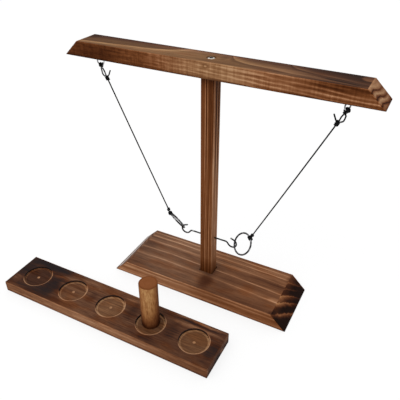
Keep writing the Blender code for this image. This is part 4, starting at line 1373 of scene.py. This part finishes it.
    def loop_knot(self) -> bpy.types.Object:
        """Close turns about the cord and its returning end, and the tail that leaves them."""
        line = self.line
        knot = line.top + self.loop_distance * line.along
        turns = helix(knot, -line.along, -line.across, self.loop_radius, self.turn_pitch, self.loop_turns)
        leave = unit(turns[-1] - turns[-2])
        lean = math.radians(self.loop_tail_lean)
        rise = -math.cos(lean) * line.along - math.sin(lean) * line.across
        elbow = turns[-1] + self.braid.diameter * (leave - 0.5 * line.across)
        tail = np.array([turns[-1], elbow, elbow + 0.5 * self.loop_tail * rise, elbow + self.loop_tail * rise])
        path = np.vstack([turns, smooth_route(tail, self.braid.spacing)[1:]])
        return self.braided("loop_turns", path, line.along)

    def ring_hitch(self) -> bpy.types.Object:
        """Close turns about the cord just above the ring."""
        line = self.line
        rise = self.cord_reach + self.hitch_turns * self.turn_pitch / 2 + self.hitch_gap
        middle = line.bottom - rise * line.along
        path = helix(middle, line.along, line.across, self.hitch_radius, self.turn_pitch, self.hitch_turns)
        return self.braided("hitch_turns", path, line.along)

    def ring_knot(self) -> bpy.types.Object:
        """Turns about the ring's wire: a small circle carried round the ring."""
        turn, centre = self.ring_pose()
        wound = self.ring_wire / 2 + self.braid.diameter / 2 + self.knot_gap
        share = np.linspace(-0.5, 0.5, self.ring_turn_points)[:, None]
        round_wire = FULL_TURN * self.ring_turns * share
        spread = self.ring_turns * self.ring_spread * self.turn_pitch / self.ring_radius
        angle = math.radians(self.ring_knot_angle) + share * spread
        reach = self.ring_radius + wound * np.cos(round_wire)
        local = np.concatenate([reach * np.cos(angle), reach * np.sin(angle), wound * np.sin(round_wire)], axis=1)
        return self.braided("ring_turns", centre + local @ turn.T, turn @ self.spoke(self.ring_knot_angle + 90.0))

    def eye_knot(self) -> bpy.types.Object:
        """Close turns about the bottom of the screw eye, with the end laid slanting over them."""
        axis = self.spoke(self.eye_turn)
        inner = (self.eye_wire + self.braid.diameter) / 2 + self.knot_gap
        under = helix(self.line.top, axis, -Z_AXIS, inner, self.turn_pitch, self.eye_turns)
        over = helix(self.line.top, -axis, -Z_AXIS, inner + self.over_lift, self.over_spread * self.turn_pitch,
                     self.over_turns)
        return self.braided("eye_turns", np.vstack([under, over[1:]]), axis)

    def ring(self) -> bpy.types.Object:
        """The ring: a small circle carried round a large one, placed on the hook."""
        turn, centre = self.ring_pose()
        rows, columns = self.ring_points
        large = circle(rows)[:, None]
        small = circle(columns)[None, :]
        reach = self.ring_radius + self.ring_wire / 2 * np.cos(small)
        height = np.broadcast_to(-self.ring_wire / 2 * np.sin(small), self.ring_points)
        local = np.stack([reach * np.cos(large), reach * np.sin(large), height], axis=-1)
        points = self.world(centre + local.reshape(-1, 3) @ turn.T).reshape(local.shape)
        piece = skin(self.side.named("wire_ring"), points, Ends.JOINED)
        paint(piece, self.steel)
        return stand_for(piece, self.side.named("ring"), self.side.named("tether"))

    def hook(self) -> bpy.types.Object:
        """The screw hook's wire."""
        path, _ = self.hook_path()
        return wire(self.side.named("wire_hook"), self.world(path), self.hook_wire, self.turned(Y_AXIS))

    def eye(self) -> bpy.types.Object:
        """The screw eye's wire: a screw, a neck that bends aside and a round loop centred under it."""
        neck = math.degrees(math.acos(self.eye_neck / (self.eye_neck + self.eye_loop)))
        rise = math.sqrt(self.eye_loop**2 + 2 * self.eye_neck * self.eye_loop)
        shank = self.eye_screw + self.eye_drop - self.eye_loop - rise
        moves = [Run(shank), Bend(self.eye_neck, neck), Bend(self.eye_loop, -(neck + 360.0 - self.eye_end_angle))]
        flat = bent((0.0, self.eye_screw), -90.0, moves)
        spin = about(Z_AXIS, self.eye_turn)
        path = flat @ spin.T + np.array([self.eye_reach, 0.0, self.layout.crossbar_height])
        return wire(self.side.named("wire_eye"), self.world(path), self.eye_wire, self.turned(spin @ Y_AXIS))


@dataclass
class Studio:
    """White floor, soft light from above, and the camera at the photograph's angle."""

    camera_place: Point = (0.2682, -0.43685, 0.5089)
    azimuth: float = 27.406
    elevation: float = 33.568
    roll: float = 0.131
    lens: float = 43.64
    sensor: float = 36.0
    clip_start: float = 0.01
    floor_radius: float = 6.0
    floor_hole: float = 0.0005
    floor_drop: float = 0.0003
    floor_points: tuple[int, int] = (12, 96)
    floor_colour: Colour = (0.15, 0.15, 0.15)
    floor_roughness: float = 0.9
    floor_specular: float = 0.1
    floor_glow: float = 0.78
    sky_level: float = 1.55
    horizon_level: float = 0.30
    horizon_top: float = 0.16
    sky_foot: float = 0.52
    backdrop_level: float = 1.02
    key_place: Point = (-0.55, -1.05, 1.50)
    key_aim: Point = (0.0, 0.0, 0.12)
    key_size: float = 1.3
    key_power: float = 9.0

    def build(self) -> None:
        """Make camera, floor and light."""
        self.camera()
        self.floor()
        self.sky()
        self.key()
        bpy.context.scene.view_settings.view_transform = "Standard"

    def camera(self) -> None:
        """Place the camera."""
        data = bpy.data.cameras.new("camera")
        data.lens = self.lens
        data.sensor_width = self.sensor
        data.clip_start = self.clip_start
        turn = Matrix.Rotation(math.radians(self.azimuth), 4, "Z")
        tilt = Matrix.Rotation(math.radians(90.0 - self.elevation), 4, "X")
        roll = Matrix.Rotation(math.radians(self.roll), 4, "Z")
        place = Matrix.Translation(self.camera_place) @ turn @ tilt @ roll
        bpy.context.scene.camera = placed("camera", data, place)

    def floor(self) -> None:
        """Lay a wide white disc under the set: rings of points about the middle."""
        rows, columns = self.floor_points
        angle = circle(columns)[None, :]
        reach = np.linspace(self.floor_radius, self.floor_hole, rows)[:, None]
        flat = np.full(self.floor_points, -self.floor_drop)
        floor = skin("floor", np.stack([reach * np.cos(angle), reach * np.sin(angle), flat], axis=-1), Ends.OPEN)
        graph = MaterialGraph("floor_paper")
        graph.surface(Base_Color=(*self.floor_colour, 1.0), Roughness=self.floor_roughness,
                      Specular_IOR_Level=self.floor_specular, Emission_Color=(1.0, 1.0, 1.0, 1.0),
                      Emission_Strength=self.floor_glow)
        paint(floor, graph.material)
        floor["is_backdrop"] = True

    def sky(self) -> None:
        """Light the set from a pale dome that darkens towards its foot, before a plain backdrop."""
        world = bpy.data.worlds.new("studio")
        bpy.context.scene.world = world
        world.use_nodes = True
        graph = Graph(world.node_tree)
        point = graph.add("ShaderNodeTexCoord", {}, {}, "Generated")
        height = graph.add("ShaderNodeSeparateXYZ", {}, {0: point}, 2)
        low, high = (self.horizon_level,) * 3, (self.sky_level,) * 3
        stops = [(0.0, low), (self.horizon_top, low), (self.sky_foot, high), (1.0, high)]
        dome = graph.add("ShaderNodeValToRGB", {"stops": stops}, {0: height})
        seen = graph.add("ShaderNodeLightPath", {}, {}, "Is Camera Ray")
        plain = (self.backdrop_level,) * 3 + (1.0,)
        graph.feed(world.node_tree.nodes["Background"].inputs["Color"], seen.mix(dome, plain))

    def key(self) -> None:
        """Hang a large soft lamp to the front left."""
        lamp = bpy.data.lights.new("key", "AREA")
        lamp.energy = self.key_power
        lamp.size = self.key_size
        aim = np.array(self.key_aim) - np.array(self.key_place)
        turn = Matrix.Rotation(math.atan2(aim[1], aim[0]) - math.pi / 2, 4, "Z")
        tilt = Matrix.Rotation(math.pi / 2 + math.atan2(aim[2], math.hypot(aim[0], aim[1])), 4, "X")
        placed("key", lamp, Matrix.Translation(self.key_place) @ turn @ tilt)


def paint(piece: bpy.types.Object, material: bpy.types.Material) -> None:
    """Put a material into a piece's first slot."""
    if not piece.material_slots:
        piece.data.materials.append(material)
    piece.material_slots[0].material = material
    LOG.info("%s is finished with %s", piece.name, material.name)


def stand_for(piece: bpy.types.Object, node: str, body: str) -> bpy.types.Object:
    """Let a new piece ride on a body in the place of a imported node.

    Args:
        piece: The piece.
        node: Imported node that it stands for.
        body: Body that it moves with.

    Returns:
        The piece.
    """
    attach(piece, body)
    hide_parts(node)
    LOG.info("%s stands for %s on %s", piece.name, node, body)
    return piece


def corners() -> list[list[float]]:
    """Lowest and highest corner of what is shown, as plain lists."""
    return [list(corner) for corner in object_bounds()]


def main() -> None:
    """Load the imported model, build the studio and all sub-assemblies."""
    logging.basicConfig(level=logging.INFO, format="%(name)s: %(message)s")
    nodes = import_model()["nodes"]
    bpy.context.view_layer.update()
    Studio().build()
    layout = Layout()
    steel = PlatedSteel("wire_plating").material()
    eye_steel = PlatedSteel("eye_plating", bright=(0.62, 0.62, 0.63), dull=(0.22, 0.22, 0.23)).material()
    hook_steel = PlatedSteel("hook_plating", bright=(0.20, 0.20, 0.20), dull=(0.015, 0.015, 0.015)).material()
    cord = BraidedCord("cord_braid").material()
    left = {"eye_turn": 8.0, "neck_turns": 0.0, "ring_roll": -6.0}
    for side, changes in ((Side.RIGHT, {}), (Side.LEFT, left)):
        Tether(side, layout, Braid(), steel, eye_steel, hook_steel, cord, **changes).build()
    Stand(layout).dress(nodes)
    tray = Tray()
    tray.dress(nodes)
    tray.peg()


if __name__ == "__main__":
    main()
